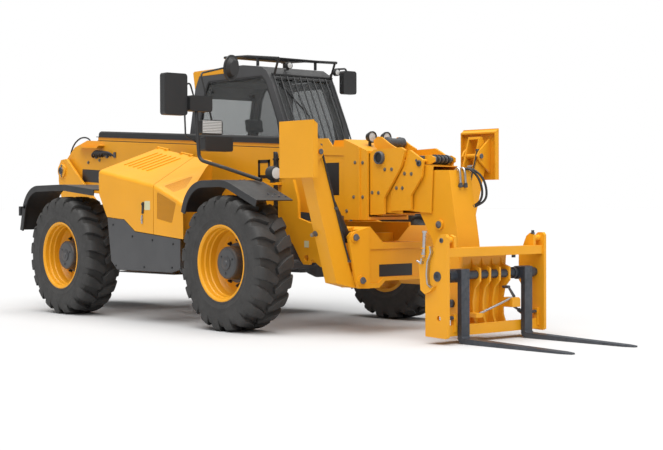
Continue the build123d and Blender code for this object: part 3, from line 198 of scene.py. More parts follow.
def surface(name, colour, rough, metallic=0.0, spread=0.08, blotch=2.5, grain=60, bump=0.15, depth=0.0006,
            coat=0.0, stretch=(1, 1, 1), dust=0.0, edge=None, specular=0.5):
    """Principled surface with colour drift, uneven gloss, fine bump, worn edges and dust lying on top."""
    material, tree, output = new_material(name)
    paint = ramp(tree, noise(tree, blotch, 4), shade(colour, 1 - spread), shade(colour, 1 + spread))
    geometry = add(tree, "NewGeometry") if edge or dust else None
    if edge:
        worn = span_value(tree, geometry.outputs["Pointiness"], 0.0, 1.0, 0.53, 0.62)
        paint = lay_over(tree, paint, edge, worn, span_value(tree, noise(tree, 30, 5), 0.0, 0.9))
    if dust:
        height = add(tree, "SeparateXYZ", Vector=geometry.outputs["Normal"]).outputs["Z"]
        facing_up = span_value(tree, height, 0.0, dust, 0.2, 1.0)
        paint = lay_over(tree, paint, DUST, facing_up, span_value(tree, noise(tree, 6, 5), 0.3, 1.0))
    gloss = span_value(tree, noise(tree, blotch * 4, 5, stretch=stretch), rough * 0.82, rough * 1.2)
    relief = add(tree, "Bump", Strength=bump, Distance=depth, Height=noise(tree, grain, 4, stretch=stretch))
    shader = add(tree, "BsdfPrincipled", Metallic=metallic, Coat_Weight=coat, Coat_Roughness=0.12,
                 Specular_IOR_Level=specular, Base_Color=paint, Roughness=gloss, Normal=relief.outputs[0])
    tree.links.new(shader.outputs[0], output.inputs[0])
    return material


def clear_glass(name, tint):
    """Tinted glass: part see-through, part gloss, with more gloss at a flat angle."""
    material, tree, output = new_material(name)
    see = add(tree, "BsdfTransparent", Color=(*tint, 1))
    base = ramp(tree, noise(tree, 3, 3), shade(tint, 0.16), shade(tint, 0.2))
    gloss = add(tree, "BsdfPrincipled", Roughness=0.02, Base_Color=base)
    fresnel = add(tree, "LayerWeight", Blend=0.35)
    amount = span_value(tree, fresnel.outputs["Fresnel"], 0.05, 0.55, 0.0, 1.0)
    mix_shaders(tree, amount, see, gloss, output)
    return material


MATERIALS = {
    "yellow_paint": surface("yellow_paint", (0.78, 0.345, 0.014), 0.36, spread=0.04, bump=0.06, coat=0.06,
                            dust=0.03, specular=0.28),
    "grey_paint": surface("grey_paint", (0.052, 0.053, 0.056), 0.42, spread=0.12, bump=0.15, coat=0.1,
                          dust=0.08),
    "black_paint": surface("black_paint", (0.012, 0.0125, 0.0135), 0.38, spread=0.2, bump=0.12,
                           dust=0.04),
    "black_plastic": surface("black_plastic", (0.022, 0.0225, 0.0235), 0.48, spread=0.2, grain=420, bump=0.3,
                             depth=0.0004, dust=0.06),
    "tyre": surface("tyre", (0.037, 0.036, 0.035), 0.66, spread=0.22, blotch=7, grain=260, bump=0.4,
                    dust=0.03),
    "steel": surface("steel", (0.5, 0.5, 0.51), 0.3, metallic=1.0, spread=0.12, bump=0.2, stretch=(1, 12, 1)),
    "chrome_rod": surface("chrome_rod", (0.72, 0.73, 0.75), 0.12, metallic=1.0, spread=0.05, bump=0.04),
    "dark_steel": surface("dark_steel", (0.03, 0.036, 0.046), 0.42, spread=0.25, blotch=6, bump=0.35,
                          edge=(0.16, 0.16, 0.17)),
    "glass": clear_glass("glass", (0.9, 0.91, 0.91)),
    "fabric": surface("fabric", (0.03, 0.031, 0.034), 0.85, spread=0.2, grain=900, bump=0.6, depth=0.0008),
    "cast": surface("cast", (0.075, 0.078, 0.083), 0.55, spread=0.15, grain=180, bump=0.4),
    "zinc": surface("zinc", (0.21, 0.19, 0.15), 0.42, metallic=0.5, spread=0.2, blotch=20, grain=200,
                    bump=0.3),
    "rubber": surface("rubber", (0.018, 0.018, 0.019), 0.5, spread=0.2, blotch=12, grain=300, bump=0.25,
                      depth=0.0004),
    # the bonnet's yellow paint made darker for the perforated sheets: painted shade
    "shaded_mesh_paint": surface("shaded_mesh_paint", (0.56, 0.235, 0.012), 0.45, spread=0.06, bump=0.1, specular=0.25),
    "lens": surface("lens", (0.62, 0.63, 0.62), 0.12, spread=0.08, grain=90, bump=0.5, depth=0.0015,
                    stretch=(0.2, 8, 0.2)),
    "lens_red": surface("lens_red", (0.42, 0.012, 0.01), 0.15, spread=0.1, grain=160, bump=0.4, depth=0.001),
    "lens_amber": surface("lens_amber", (0.75, 0.2, 0.008), 0.15, spread=0.1, grain=160, bump=0.4,
                          depth=0.001),
    "mirror": surface("mirror", (0.8, 0.81, 0.82), 0.04, metallic=1.0, spread=0.02, grain=8, bump=0.01),
    "blank_plate": surface("blank_plate", (0.6, 0.58, 0.36), 0.4, spread=0.05, bump=0.05),
}


# ---------------------------------------------------------------- building pieces
SHARP_ANGLE = 38        # degrees from which an edge of a detail piece counts as sharp
CAD_SHARP_ANGLE = 32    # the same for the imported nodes


def soften(item, width, angle):
    """Small round on the edges sharper than an angle."""
    edge = item.modifiers.new("edges", "BEVEL")
    edge.width = width
    edge.segments = 2
    edge.limit_method = "ANGLE"
    edge.angle_limit = math.radians(angle)
    return edge


def wear(item, data, finish, body):
    """Give a piece its finish and let it ride on a body."""
    data.materials.append(MATERIALS[finish])
    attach(item, body)


class Shape:
    """Faces gathered for one joined piece, in metres in the row frame."""

    def __init__(self):
        self.mesh = bmesh.new()

    def quads(self, rings, caps=True, loop=False):
        """Skin between equal closed rings of points; a loop joins the last ring to the first."""
        rows = [[self.mesh.verts.new(point) for point in ring] for ring in rings]
        count = len(rows[0])
        for one, two in zip(rows, rows[1:] + (rows[:1] if loop else [])):
            for k in range(count):
                n = (k + 1) % count
                self.mesh.faces.new((one[k], one[n], two[n], two[k]))
        if caps and not loop:
            self.mesh.faces.new(rows[0][::-1])
            self.mesh.faces.new(rows[-1])

    def prism(self, outline, low, high, axis="y"):
        """Outline given as (x, z) across y, or as (y, z) along x, between two planes."""
        if axis == "y":
            rings = [[(u, place, v) for u, v in outline] for place in (low, high)]
        else:
            rings = [[(place, u, v) for u, v in outline] for place in (low, high)]
        self.quads(rings)

    def box(self, low, high):
        """Box between two corners."""
        (x0, y0, z0), (x1, y1, z1) = low, high
        self.prism(((x0, z0), (x1, z0), (x1, z1), (x0, z1)), y0, y1)

    def rod(self, start, end, radius, sides=24, end_radius=None):
        """Round bar or cone between two points."""
        start, end = Vector(start), Vector(end)
        turn = (end - start).to_track_quat("Z", "Y").to_matrix()
        rings = []
        for place, size in ((start, radius), (end, radius if end_radius is None else end_radius)):
            rings.append([
                place + turn @ Vector((size * math.cos(a), size * math.sin(a), 0))
                for a in (2 * math.pi * k / sides for k in range(sides))
            ])
        self.quads(rings)

    def lathe(self, profile, at, direction, sides=48, closed=False):
        """Turn (distance along, radius) points about a line."""
        at, direction = Vector(at), Vector(direction).normalized()
        turn = direction.to_track_quat("Z", "Y").to_matrix()
        rings = []
        for along, radius in profile:
            rings.append([
                at + turn @ Vector((radius * math.cos(a), radius * math.sin(a), along))
                for a in (2 * math.pi * k / sides for k in range(sides))
            ])
        self.quads(rings, caps=not closed)

    def bolt(self, at, direction, size):
        """Hexagon head on a washer, standing on a face."""
        at, direction = Vector(at), Vector(direction).normalized()
        self.rod(at, at + direction * size * 0.25, size * 1.45, 20)
        self.rod(at, at + direction * size * 0.95, size, 6)

    def piece(self, name, finish, body, bevel=0.0, smooth=SHARP_ANGLE, replaces=()):
        """Turn what was gathered into a named piece riding on a body."""
        bmesh.ops.recalc_face_normals(self.mesh, faces=self.mesh.faces)
        data = bpy.data.meshes.new(name)
        self.mesh.to_mesh(data)
        self.mesh.free()
        data.polygons.foreach_set("use_smooth", [True] * len(data.polygons))
        data.set_sharp_from_angle(angle=math.radians(smooth))
        item = bpy.data.objects.new(name, data)
        bpy.context.scene.collection.objects.link(item)
        if bevel:
            soften(item, bevel, SHARP_ANGLE).harden_normals = True
        wear(item, data, finish, body)
        if replaces:
            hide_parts(*replaces)
        return item


def hose(name, points, radius, body, finish="rubber"):
    """Smooth hose or pipe through control points, joined to the machine at both ends."""
    curve = bpy.data.curves.new(name, "CURVE")
    curve.dimensions = "3D"
    curve.bevel_depth = radius
    curve.bevel_resolution = 4
    curve.use_fill_caps = True
    spline = curve.splines.new("NURBS")
    spline.points.add(len(points) - 1)
    for node, point in zip(spline.points, points):
        node.co = (*point, 1)
    spline.order_u = 3
    spline.use_endpoint_u = True
    spline.resolution_u = 8
    item = bpy.data.objects.new(name, curve)
    bpy.context.scene.collection.objects.link(item)
    wear(item, curve, finish, body)


# nodes whose thin bars or plates take a finer edge
EDGE_WIDTHS = {"cab_guards": 0.0015, "fenders": 0.005, "boom_cover": 0.003, "bonnet": 0.0025,
               "pod_front_panel": 0.0025}
NO_BEVEL = ("seat",)


def dress_frame():
    """Give every CAD node its slot's finish and soften its edges a little."""
    for row in RECORD["subparts"]:
        node = frame["nodes"][row["node"]]
        finish = MATERIALS[row["material_slot"]]
        node.data.materials.clear()
        node.data.materials.append(finish)
        node.data.polygons.foreach_set("use_smooth", [True] * len(node.data.polygons))
        weld = node.modifiers.new("weld", "WELD")
        weld.merge_threshold = 0.00005
        if row["node"] in NO_BEVEL or row["material_slot"] == "glass":
            width = 0.0
        else:
            width = EDGE_WIDTHS.get(row["node"], 0.004)
        if width:
            soften(node, width, CAD_SHARP_ANGLE)
        node.modifiers.new("shading", "WEIGHTED_NORMAL")


# ---------------------------------------------------------------- wheels
CORNERS = (("front_right", -1), ("front_left", 1), ("rear_right", -1), ("rear_left", 1))
# carcass of the tyre: distance from the mid-plane, radius; the groove floor lies at 0.570
TYRE_PROFILE = (
    (0.16, 0.332), (0.172, 0.334), (0.18, 0.346), (0.184, 0.356), (0.182, 0.366), (0.188, 0.378),
    (0.191, 0.396), (0.1935, 0.4), (0.1935, 0.406), (0.192, 0.41), (0.1945, 0.44), (0.195, 0.47),
    (0.1945, 0.5), (0.192, 0.524), (0.186, 0.545), (0.172, 0.56), (0.14, 0.566), (0.08, 0.569), (0.0, 0.57),
)
TYRE_RADIUS = 0.605
LUGS = 20
# stations of one lug from its nose to its foot on the sidewall: distance from the mid-plane, where its
# leading and trailing edges lie along the tread, radius of its top
LUG_STATIONS = (
    (-0.008, 0.05, 0.03, 0.602), (0.01, 0.084, 0.016, 0.605), (0.055, 0.064, -0.022, 0.605),
    (0.105, 0.042, -0.055, 0.604), (0.148, 0.032, -0.072, 0.602), (0.176, 0.027, -0.082, 0.59),
    (0.1935, 0.023, -0.087, 0.566), (0.1965, 0.02, -0.08, 0.535), (0.1955, 0.01, -0.062, 0.502),
)
LUG_ROOT = 0.556
LUG_DRAFT = 0.007
LUG_CROWN = 0.0006
TYRE_SIDES = 100
WHEEL_NUTS = 10
NUT_CIRCLE = 0.205
HUB_BOLT_CIRCLE = 0.092


def on_tyre(centre, across, along, radius, start):
    """Point on a tyre from its distance from the mid-plane, distance along the tread and radius."""
    angle = start + along / TYRE_RADIUS
    return (centre.x + radius * math.sin(angle), centre.y + across, centre.z + radius * math.cos(angle))


def tyre(corner):
    """Tyre with a rounded carcass, sidewall rings and interleaved slanting lugs."""
    low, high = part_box(f"tyre_{corner}")
    centre = (low + high) / 2
    shape = Shape()
    carcass = list(TYRE_PROFILE) + [(-a, r) for a, r in reversed(TYRE_PROFILE[:-1])]
    shape.lathe(carcass, centre, (0, 1, 0), sides=TYRE_SIDES, closed=True)
    # inner wall of the bead closes the carcass behind the rim
    shape.lathe([(-0.16, 0.332), (0.16, 0.332)], centre, (0, 1, 0), sides=TYRE_SIDES, closed=True)
    turn = 2 * math.pi / LUGS
    for half_side in (-1, 1):
        for index in range(LUGS):
            start = turn * (index + (0.5 if half_side < 0 else 0.0))
            rings = []
            for across, lead, trail, top in LUG_STATIONS:
                root = min(LUG_ROOT, top - 0.012)
                out = half_side * across
                mid = (lead + trail) / 2
                crown = min(top + LUG_CROWN, TYRE_RADIUS)
                section = ((trail - LUG_DRAFT, root), (trail, top), (mid, crown), (lead, top),
                           (lead + LUG_DRAFT, root))
                rings.append([on_tyre(centre, out, along, radius, start) for along, radius in section])
            shape.quads(rings)
    shape.piece(f"tyre_detail_{corner}", "tyre", f"{corner}_wheel", bevel=0.004, smooth=35,
                replaces=(f"tyre_{corner}",))


def spoke(radius, angle):
    """Vector across a wheel's face."""
    return Vector((radius * math.cos(angle), 0, radius * math.sin(angle)))


def wheel_fittings(corner, side):
    """Nuts and studs round the wheel disc, the valve, and the plug in the hub's face."""
    low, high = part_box(f"rim_{corner}")
    centre = (low + high) / 2
    out = Vector((0, side, 0))
    face = centre + out * -0.03
    shape = Shape()
    for k in range(WHEEL_NUTS):
        at = face + spoke(NUT_CIRCLE, 2 * math.pi * (k + 0.5) / WHEEL_NUTS)
        for reach, radius, sides in ((0.005, 0.021, 24), (0.022, 0.0165, 6), (0.034, 0.008, 12)):
            shape.rod(at, at + out * reach, radius, sides)
    shape.piece(f"wheel_nuts_{corner}", "black_paint", f"{corner}_wheel", bevel=0.001)
    shape = Shape()
    at = centre + out * 0.012 + Vector((0.262, 0, 0.06))
    shape.rod(at - out * 0.035, at + out * 0.035, 0.0065, 12)
    shape.rod(at + out * 0.03, at + out * 0.046, 0.0085, 12)
    shape.piece(f"valve_{corner}", "steel", f"{corner}_wheel")
    hub_face = centre + out * 0.115
    shape = Shape()
    for k in range(3):
        shape.bolt(hub_face + spoke(HUB_BOLT_CIRCLE, 2 * math.pi * k / 3 + 0.4), out, 0.009)
    shape.lathe([(0.0, 0.06), (0.006, 0.06), (0.009, 0.054), (0.009, 0.026), (0.014, 0.022), (0.014, 0.0)],
                hub_face, out, 40)
    shape.piece(f"hub_cap_{corner}", "grey_paint", f"{corner}_wheel")


# ---------------------------------------------------------------- boom, chassis and carriage details
BOOM_PIVOT = (-3.7, 1.515)
BOOM_TILT = math.radians(3.2)
SHAFT_AT = (2.6, 0.545)
WHEELBASE = 2.75
# bolts on side faces: piece, body, face's distance from the mid-plane, size, places as x, z
BOLT_ROWS = (
    ("collar_bolts_1", "boom", 0.25, 0.0115,
     ((1.238, 1.494), (1.338, 1.49), (1.22, 1.188), (1.338, 1.186), (1.126, 1.063))),
    ("collar_bolts_2", "section_2", 0.222, 0.0115,
     ((1.592, 1.426), (1.677, 1.425), (1.43, 1.226), (1.511, 1.223))),
    ("collar_bolts_3", "section_3", 0.192, 0.0115,
     ((1.806, 1.386), (1.889, 1.382), (1.706, 1.263), (1.778, 1.261))),
    ("boom_side_bolts", "boom", 0.235, 0.014, ((-3.235, 1.6), (-3.0, 1.42), (-3.0, 1.62))),
    ("tower_bolts", "chassis", 0.314, 0.01, ((-3.69, 1.575), (-3.69, 1.455))),
    ("tower_foot_bolts", "chassis", 0.292, 0.014, ((-3.4, 1.0), (-2.98, 1.0))),
    ("rail_bolts", "chassis", 0.42, 0.013,
     ((-1.66, 0.9), (-1.66, 0.8), (-0.46, 0.9), (-0.46, 0.8), (-1.05, 0.9), (-1.05, 0.8))),
)
# pins with a dark head: piece, body, how far the face stands from the mid-plane, radius, x, z
PIN_HEADS = (
    ("pivot_pin_heads", "chassis", 0.322, 0.04, *BOOM_PIVOT),
    ("lift_pin_heads", "chassis", 0.3, 0.03, -3.0, 0.72),
    ("shaft_caps", "fork_carriage", 0.605, 0.04, *SHAFT_AT),
    ("nose_pin_heads", "fork_carriage", 0.18, 0.032, 2.34, 0.295),
    ("ear_pin_heads", "fork_carriage", 0.605, 0.02, 2.646, 0.834),
)


def bolt_rows():
    """Bolts and pin heads that stand on side faces, on both sides of the machine."""
    for name, body, face, size, places in BOLT_ROWS:
        shape = Shape()
        for side in (-1, 1):
            for x, z in places:
                shape.bolt((x, side * (face - 0.0005), z), (0, side, 0), size)
        shape.piece(name, "zinc", body, bevel=0.0008)
    for name, body, face, radius, x, z in PIN_HEADS:
        shape = Shape()
        profile = [(0.0, radius), (0.006, radius), (0.009, radius * 0.88), (0.009, radius * 0.45),
                   (0.004, radius * 0.4), (0.004, 0.0)]
        for side in (-1, 1):
            shape.lathe(profile, (x, side * (face - 0.001), z), (0, side, 0), 32)
        shape.piece(name, "dark_steel", body)


def boom_line(along, up):
    """Point x, z at a distance along the boom from its pivot and a height above its line."""
    slope, level = math.sin(BOOM_TILT), math.cos(BOOM_TILT)
    return (BOOM_PIVOT[0] + along * level + up * slope, BOOM_PIVOT[1] - along * slope + up * level)


def boom_details():
    """Cover's band and lip, blank panels, collar pin, rollers, hose arc, hose shelf and its bundle."""
    band, lip = Shape(), Shape()
    for side in (-1, 1):
        outline = [boom_line(*p) for p in ((0.6, 0.358), (0.6, 0.398), (3.895, 0.398), (3.895, 0.358))]
        band.prism(outline, side * 0.199, side * 0.2035)
        outline = [boom_line(*p) for p in ((0.575, 0.398), (0.575, 0.406), (3.898, 0.406), (3.898, 0.398))]
        lip.prism(outline, side * 0.198, side * 0.216)
        outline = [boom_line(*p) for p in ((0.6, 0.3575), (0.6, 0.364), (3.895, 0.364), (3.895, 0.3575))]
        lip.prism(outline, side * 0.198, side * 0.212)
    band.piece("cover_base_band", "yellow_paint", "boom", bevel=0.0008)
    lip.piece("cover_lips", "black_plastic", "boom", bevel=0.0015)
    # square border and plain dark panels on the boom's sides, with nothing on them
    border = Shape()
    x0, x1, z0, z1, edge = -0.161, 0.021, 1.375, 1.551, 0.03
    for low, high in (((x0, z0), (x1, z0 + edge)), ((x0, z1 - edge), (x1, z1)), ((x0, z0), (x0 + edge, z1)),
                      ((x1 - edge, z0), (x1, z1))):
        border.box((low[0], -0.2385, low[1]), (high[0], -0.2345, high[1]))
    border.piece("boom_mark_frame", "black_paint", "boom")
    plate = Shape()
    for side in (-1, 1):
        plate.prism(((0.819, 1.207), (1.009, 1.207), (1.009, 1.499), (0.819, 1.499)), side * 0.2345,
                    side * 0.2385)
        outline = [boom_line(*p) for p in ((0.34, -0.108), (0.34, 0.032), (0.84, 0.032), (0.84, -0.108))]
        plate.prism(outline, side * 0.2345, side * 0.2385)
    plate.piece("boom_blank_panels", "black_paint", "boom", bevel=0.001)
    # hollow pin through the second section's collar; the black disc at the floor of its hollow is painted
    # shade
    ring, shade_disc = Shape(), Shape()
    for side in (-1, 1):
        at = (1.536, side * 0.2215, 1.528)
        ring.lathe([(0.0, 0.056), (0.03, 0.056), (0.034, 0.053), (0.034, 0.045), (0.019, 0.044),
                    (0.0, 0.044)], at, (0, side, 0), 48, closed=True)
        shade_disc.lathe([(0.0185, 0.044), (0.02, 0.043), (0.02, 0.0)], at, (0, side, 0), 32)
    ring.piece("collar_pin_rings", "cast", "section_2")
    shade_disc.piece("collar_pin_shade_discs", "black_paint", "section_2")
    # extension chain roller in its bracket on top of the second section's collar
    bracket = Shape()
    outline = ((1.412, 1.54), (1.408, 1.6), (1.362, 1.632), (1.346, 1.69), (1.4, 1.722), (1.45, 1.716),
               (1.56, 1.65), (1.64, 1.612), (1.64, 1.596), (1.552, 1.59), (1.548, 1.538))
    for y in (-0.128, 0.112):
        bracket.prism(outline, y, y + 0.016)
    bracket.piece("roller_bracket", "yellow_paint", "section_2", bevel=0.003)
    roller = Shape()
    roller.lathe([(-0.114, 0.0), (-0.114, 0.022), (-0.1, 0.046), (-0.06, 0.05), (-0.05, 0.038), (0.05, 0.038),
                  (0.06, 0.05), (0.1, 0.046), (0.114, 0.022), (0.114, 0.0)], (1.485, 0, 1.668), (0, 1, 0), 40)
    roller.piece("chain_roller", "cast", "section_2")
    # work lamps beside it
    lamp, lens = Shape(), Shape()
    for x, y, z, radius in ((1.3, -0.09, 1.722, 0.052), (1.3, 0.09, 1.722, 0.052)):
        lamp.lathe([(0.0, 0.02), (0.012, radius * 0.7), (0.05, radius), (0.07, radius), (0.07, radius * 0.86),
                    (0.062, radius * 0.84), (0.02, radius * 0.4)], (x - 0.07, y, z), (1, 0, 0), 32,
                   closed=True)
        lamp.box((x - 0.05, y - 0.01, 1.636), (x - 0.03, y + 0.01, z - radius * 0.8))
        lens.lathe([(0.06, radius * 0.85), (0.064, radius * 0.6), (0.066, 0.0)], (x - 0.07, y, z), (1, 0, 0),
                   32)
    lamp.piece("boom_lamps", "black_plastic", "boom")
    lens.piece("boom_lamp_lenses", "lens", "boom")
    # rear hose arc, shelf and bundle
    hose("tail_hose_arc", ((-3.765, -0.15, 1.59), (-3.778, -0.15, 1.68), (-3.7, -0.15, 1.815),
                           (-3.56, -0.15, 1.888), (-3.43, -0.15, 1.894), (-3.33, -0.15, 1.862),
                           (-3.3, -0.15, 1.8)), 0.009, "boom")
    hose("tail_hose_arc_left", ((-3.765, 0.1, 1.59), (-3.775, 0.1, 1.67), (-3.69, 0.11, 1.8),
                                (-3.56, 0.12, 1.868), (-3.44, 0.12, 1.876), (-3.34, 0.12, 1.85),
                                (-3.31, 0.12, 1.795)), 0.009, "boom")
    shelf = Shape()
    outline = ((-3.385, 1.778), (-2.95, 1.757), (-2.9, 1.786), (-2.896, 1.779), (-2.948, 1.749),
               (-3.385, 1.77))
    for side in (-1, 1):
        shelf.prism(outline, side * 0.233, side * 0.312)
    shelf.piece("hose_shelf", "yellow_paint", "boom", bevel=0.0015)
    for index in range(5):
        shift = index * 0.046
        hose(f"tail_hose_{index}", ((-3.13 + shift, -0.225, 1.655), (-3.12 + shift, -0.268, 1.665),
                                    (-3.06 + shift, -0.285, 1.705),
                                    (-2.975 + shift, -0.28, 1.728 - index * 0.006),
                                    (-2.93 + shift, -0.262, 1.69), (-2.905 + shift, -0.225, 1.655)), 0.011,
             "boom")
    clamp = Shape()
    for x in (-3.08, -2.86, -2.7):
        clamp.box((x, -0.25, 1.64), (x + 0.035, -0.233, 1.7))
    clamp.piece("hose_clamps", "cast", "boom", bevel=0.002)


def nose_details():
    """Hoses over the nose's top, chain roller at the third section's end, bosses and grease points."""
    # third section: lug pin and chain roller
    shape = Shape()
    for side in (-1, 1):
        at = (1.985, side * 0.1915, 1.47)
        shape.lathe([(0.0, 0.026), (0.012, 0.026), (0.015, 0.022), (0.015, 0.012), (0.006, 0.011),
                     (0.006, 0.0)], at, (0, side, 0), 28)
        shape.bolt((1.948, side * 0.1915, 1.496), (0, side, 0), 0.008)
    shape.piece("section_3_pins", "dark_steel", "section_3")
    shape = Shape()
    for side in (-1, 1):
        shape.prism(((1.96, 1.462), (1.96, 1.536), (2.06, 1.54), (2.108, 1.518), (2.108, 1.484),
                     (2.06, 1.462)), side * 0.118, side * 0.13)
    shape.rod((2.005, -0.172, 1.492), (2.005, 0.172, 1.492), 0.014, 20)
    shape.piece("chain_bracket", "yellow_paint", "section_3", bevel=0.002)
    shape = Shape()
    profile = [(-0.116, 0.0), (-0.116, 0.018)]
    for k in range(5):
        y = -0.1 + k * 0.044
        profile += [(y, 0.032), (y + 0.006, 0.032), (y + 0.01, 0.022), (y + 0.03, 0.022)]
    profile += [(0.116, 0.018), (0.116, 0.0)]
    shape.lathe(profile, (2.072, 0, 1.503), (0, 1, 0), 32)
    shape.piece("chain_rollers", "cast", "section_3")
    for index, y in enumerate((-0.08, -0.036, 0.008, 0.052)):
        hose(f"chain_hose_{index}", ((1.985, y, 1.531), (2.04, y, 1.536), (2.088, y, 1.536),
                                     (2.116, y, 1.503), (2.088, y, 1.47), (2.04, y, 1.47), (1.985, y, 1.472)),
             0.009, "section_3")
    shape = Shape()
    shape.box((1.955, -0.172, 1.462), (1.99, 0.172, 1.536))
    shape.piece("hose_block", "cast", "section_3", bevel=0.003)
    # nose: two hooked pipes on the front face and two longer hoses round its left edge
    for index, y in enumerate((-0.03, 0.03)):
        hose(f"nose_pipe_{index}", ((2.24, y, 1.395), (2.262, y, 1.426), (2.292, y, 1.424), (2.305, y, 1.39),
                                    (2.308, y, 1.33), (2.316, y, 1.27)), 0.011, "nose", "steel")
        shape = Shape()
        shape.rod((2.312, y, 1.3), (2.318, y, 1.262), 0.017, 6)
        shape.rod((2.29, y, 1.276), (2.318, y, 1.272), 0.014, 6)
        shape.piece(f"nose_fitting_{index}", "dark_steel", "nose", bevel=0.001)
    for index, (reach, drop) in enumerate(((0.0, 0.0), (0.035, 0.012))):
        hose(f"nose_hose_{index}", ((2.235, 0.03 + reach, 1.398), (2.262, 0.055 + reach, 1.425),
                                    (2.31, 0.095 + reach, 1.418), (2.355 + reach * 0.5, 0.14 + reach, 1.355),
                                    (2.385 + reach * 0.5, 0.16 + reach, 1.255),
                                    (2.375 + reach * 0.5, 0.165 + reach, 1.17 - drop),
                                    (2.335, 0.15, 1.12 - drop), (2.3, 0.125, 1.105 - drop)), 0.01, "nose")
    shape = Shape()
    for side in (-1, 1):
        at = (2.168, side * 0.147, 0.95)
        shape.lathe([(0.0, 0.03), (0.006, 0.03), (0.009, 0.026), (0.009, 0.0)], at, (0, side, 0), 28)
    shape.piece("nose_boss_pins", "dark_steel", "nose")
    shape = Shape()
    shape.rod((2.318, 0.131, 1.112), (2.29, 0.12, 1.1), 0.024, 6)
    shape.piece("nose_port", "dark_steel", "nose", bevel=0.001)


def carriage_details():
    """Locking rod, lever, claw linings, the slanting latch rod with its block and link, stubs and nuts."""
    shape = Shape()
    shape.rod((2.486, -0.646, 0.7), (2.496, -0.646, 0.896), 0.014, 20)
    shape.rod((2.496, -0.646, 0.894), (2.497, -0.646, 0.91), 0.02, 20)
    shape.rod((2.484, -0.646, 0.718), (2.484, -0.646, 0.735), 0.019, 20)
    # wing lever on the claw
    shape.rod((2.463, -0.628, 0.655), (2.463, -0.662, 0.655), 0.013, 20)
    shape.rod((2.47, -0.655, 0.65), (2.425, -0.662, 0.668), 0.007, 12)
    shape.rod((2.463, -0.655, 0.645), (2.478, -0.664, 0.69), 0.007, 12)
    shape.piece("carriage_lock_rod", "steel", "fork_carriage")
    shape = Shape()
    for z in (0.705, 0.765):
        shape.box((2.47, -0.662, z), (2.5, -0.628, z + 0.01))
    shape.piece("lock_rod_guides", "yellow_paint", "fork_carriage", bevel=0.001)
    # bright linings inside the claws
    inner = ((2.534, 0.786), (2.544, 0.738), (2.506, 0.66), (2.496, 0.56), (2.506, 0.482), (2.544, 0.456))
    outer = [(x + 0.014, z) for x, z in inner]
    shape = Shape()
    for side in (-1, 1):
        low, high = sorted((side * 0.607, side * 0.634))
        for a, b, c, d in zip(inner, inner[1:], outer[1:], outer):
            shape.prism((a, b, c, d), low, high)
    shape.piece("claw_linings", "steel", "fork_carriage")
    # slanting latch rod in front of the ribs
    shape = Shape()
    shape.rod((2.65, -0.215, 0.214), (2.65, 0.236, 0.342), 0.0095, 20)
    shape.rod((2.65, -0.215, 0.214), (2.65, -0.188, 0.2215), 0.0135, 6)
    shape.piece("latch_rod", "steel", "fork_carriage")
    shape = Shape()
    shape.prism(((0.205, 0.262), (0.306, 0.262), (0.306, 0.326), (0.292, 0.342), (0.205, 0.342)), 2.555, 2.68,
                "x")
    shape.box((2.555, -0.224, 0.196), (2.668, -0.145, 0.234))
    shape.piece("latch_block", "yellow_paint", "fork_carriage", bevel=0.004)
    shape = Shape()
    shape.prism(((0.196, 0.436), (0.212, 0.44), (0.292, 0.352), (0.286, 0.338), (0.27, 0.34)), 2.625, 2.637,
                "x")
    shape.rod((2.575, 0.206, 0.43), (2.644, 0.206, 0.43), 0.013, 20)
    shape.rod((2.648, 0.25, 0.268), (2.64, 0.352, 0.222), 0.01, 16)
    shape.rod((2.64, 0.33, 0.232), (2.634, 0.384, 0.208), 0.018, 16)
    shape.rod((2.634, 0.372, 0.213), (2.642, 0.378, 0.14), 0.008, 12)
    shape.piece("latch_link", "dark_steel", "fork_carriage")
    # stub on the left ear, nut under the crossbar, spring pins at the right lock
    shape = Shape()
    shape.rod((2.66, 0.486, 0.87), (2.66, 0.486, 0.88), 0.02, 20)
    shape.rod((2.66, 0.486, 0.872), (2.66, 0.486, 0.9), 0.013, 20)
    shape.rod((2.66, 0.241, 0.702), (2.66, 0.241, 0.676), 0.018, 6)
    shape.rod((2.636, -0.56, 0.209), (2.636, -0.44, 0.209), 0.016, 20)
    shape.rod((2.636, 0.56, 0.209), (2.636, 0.47, 0.209), 0.014, 20)
    shape.piece("carriage_stubs", "dark_steel", "fork_carriage", bevel=0.001)
    shape = Shape()
    for low, high in ((-0.578, -0.548), (-0.47, -0.444), (0.548, 0.578)):
        shape.box((2.616, low, 0.182), (2.656, high, 0.24))
        shape.box((2.616, low, 0.092), (2.656, high, 0.19))
    shape.piece("lock_pin_brackets", "yellow_paint", "fork_carriage", bevel=0.002)
    # set collars on the shaft beside the fork sleeves
    shape = Shape()
    for side in (-1, 1):
        for y in (0.3, 0.52):
            shape.lathe([(-0.012, 0.0355), (-0.012, 0.048), (0.012, 0.048), (0.012, 0.0355)],
                        (2.6, side * y, 0.545), (0, 1, 0), 32, closed=True)
    shape.piece("shaft_collars", "dark_steel", "fork_carriage", bevel=0.0015)


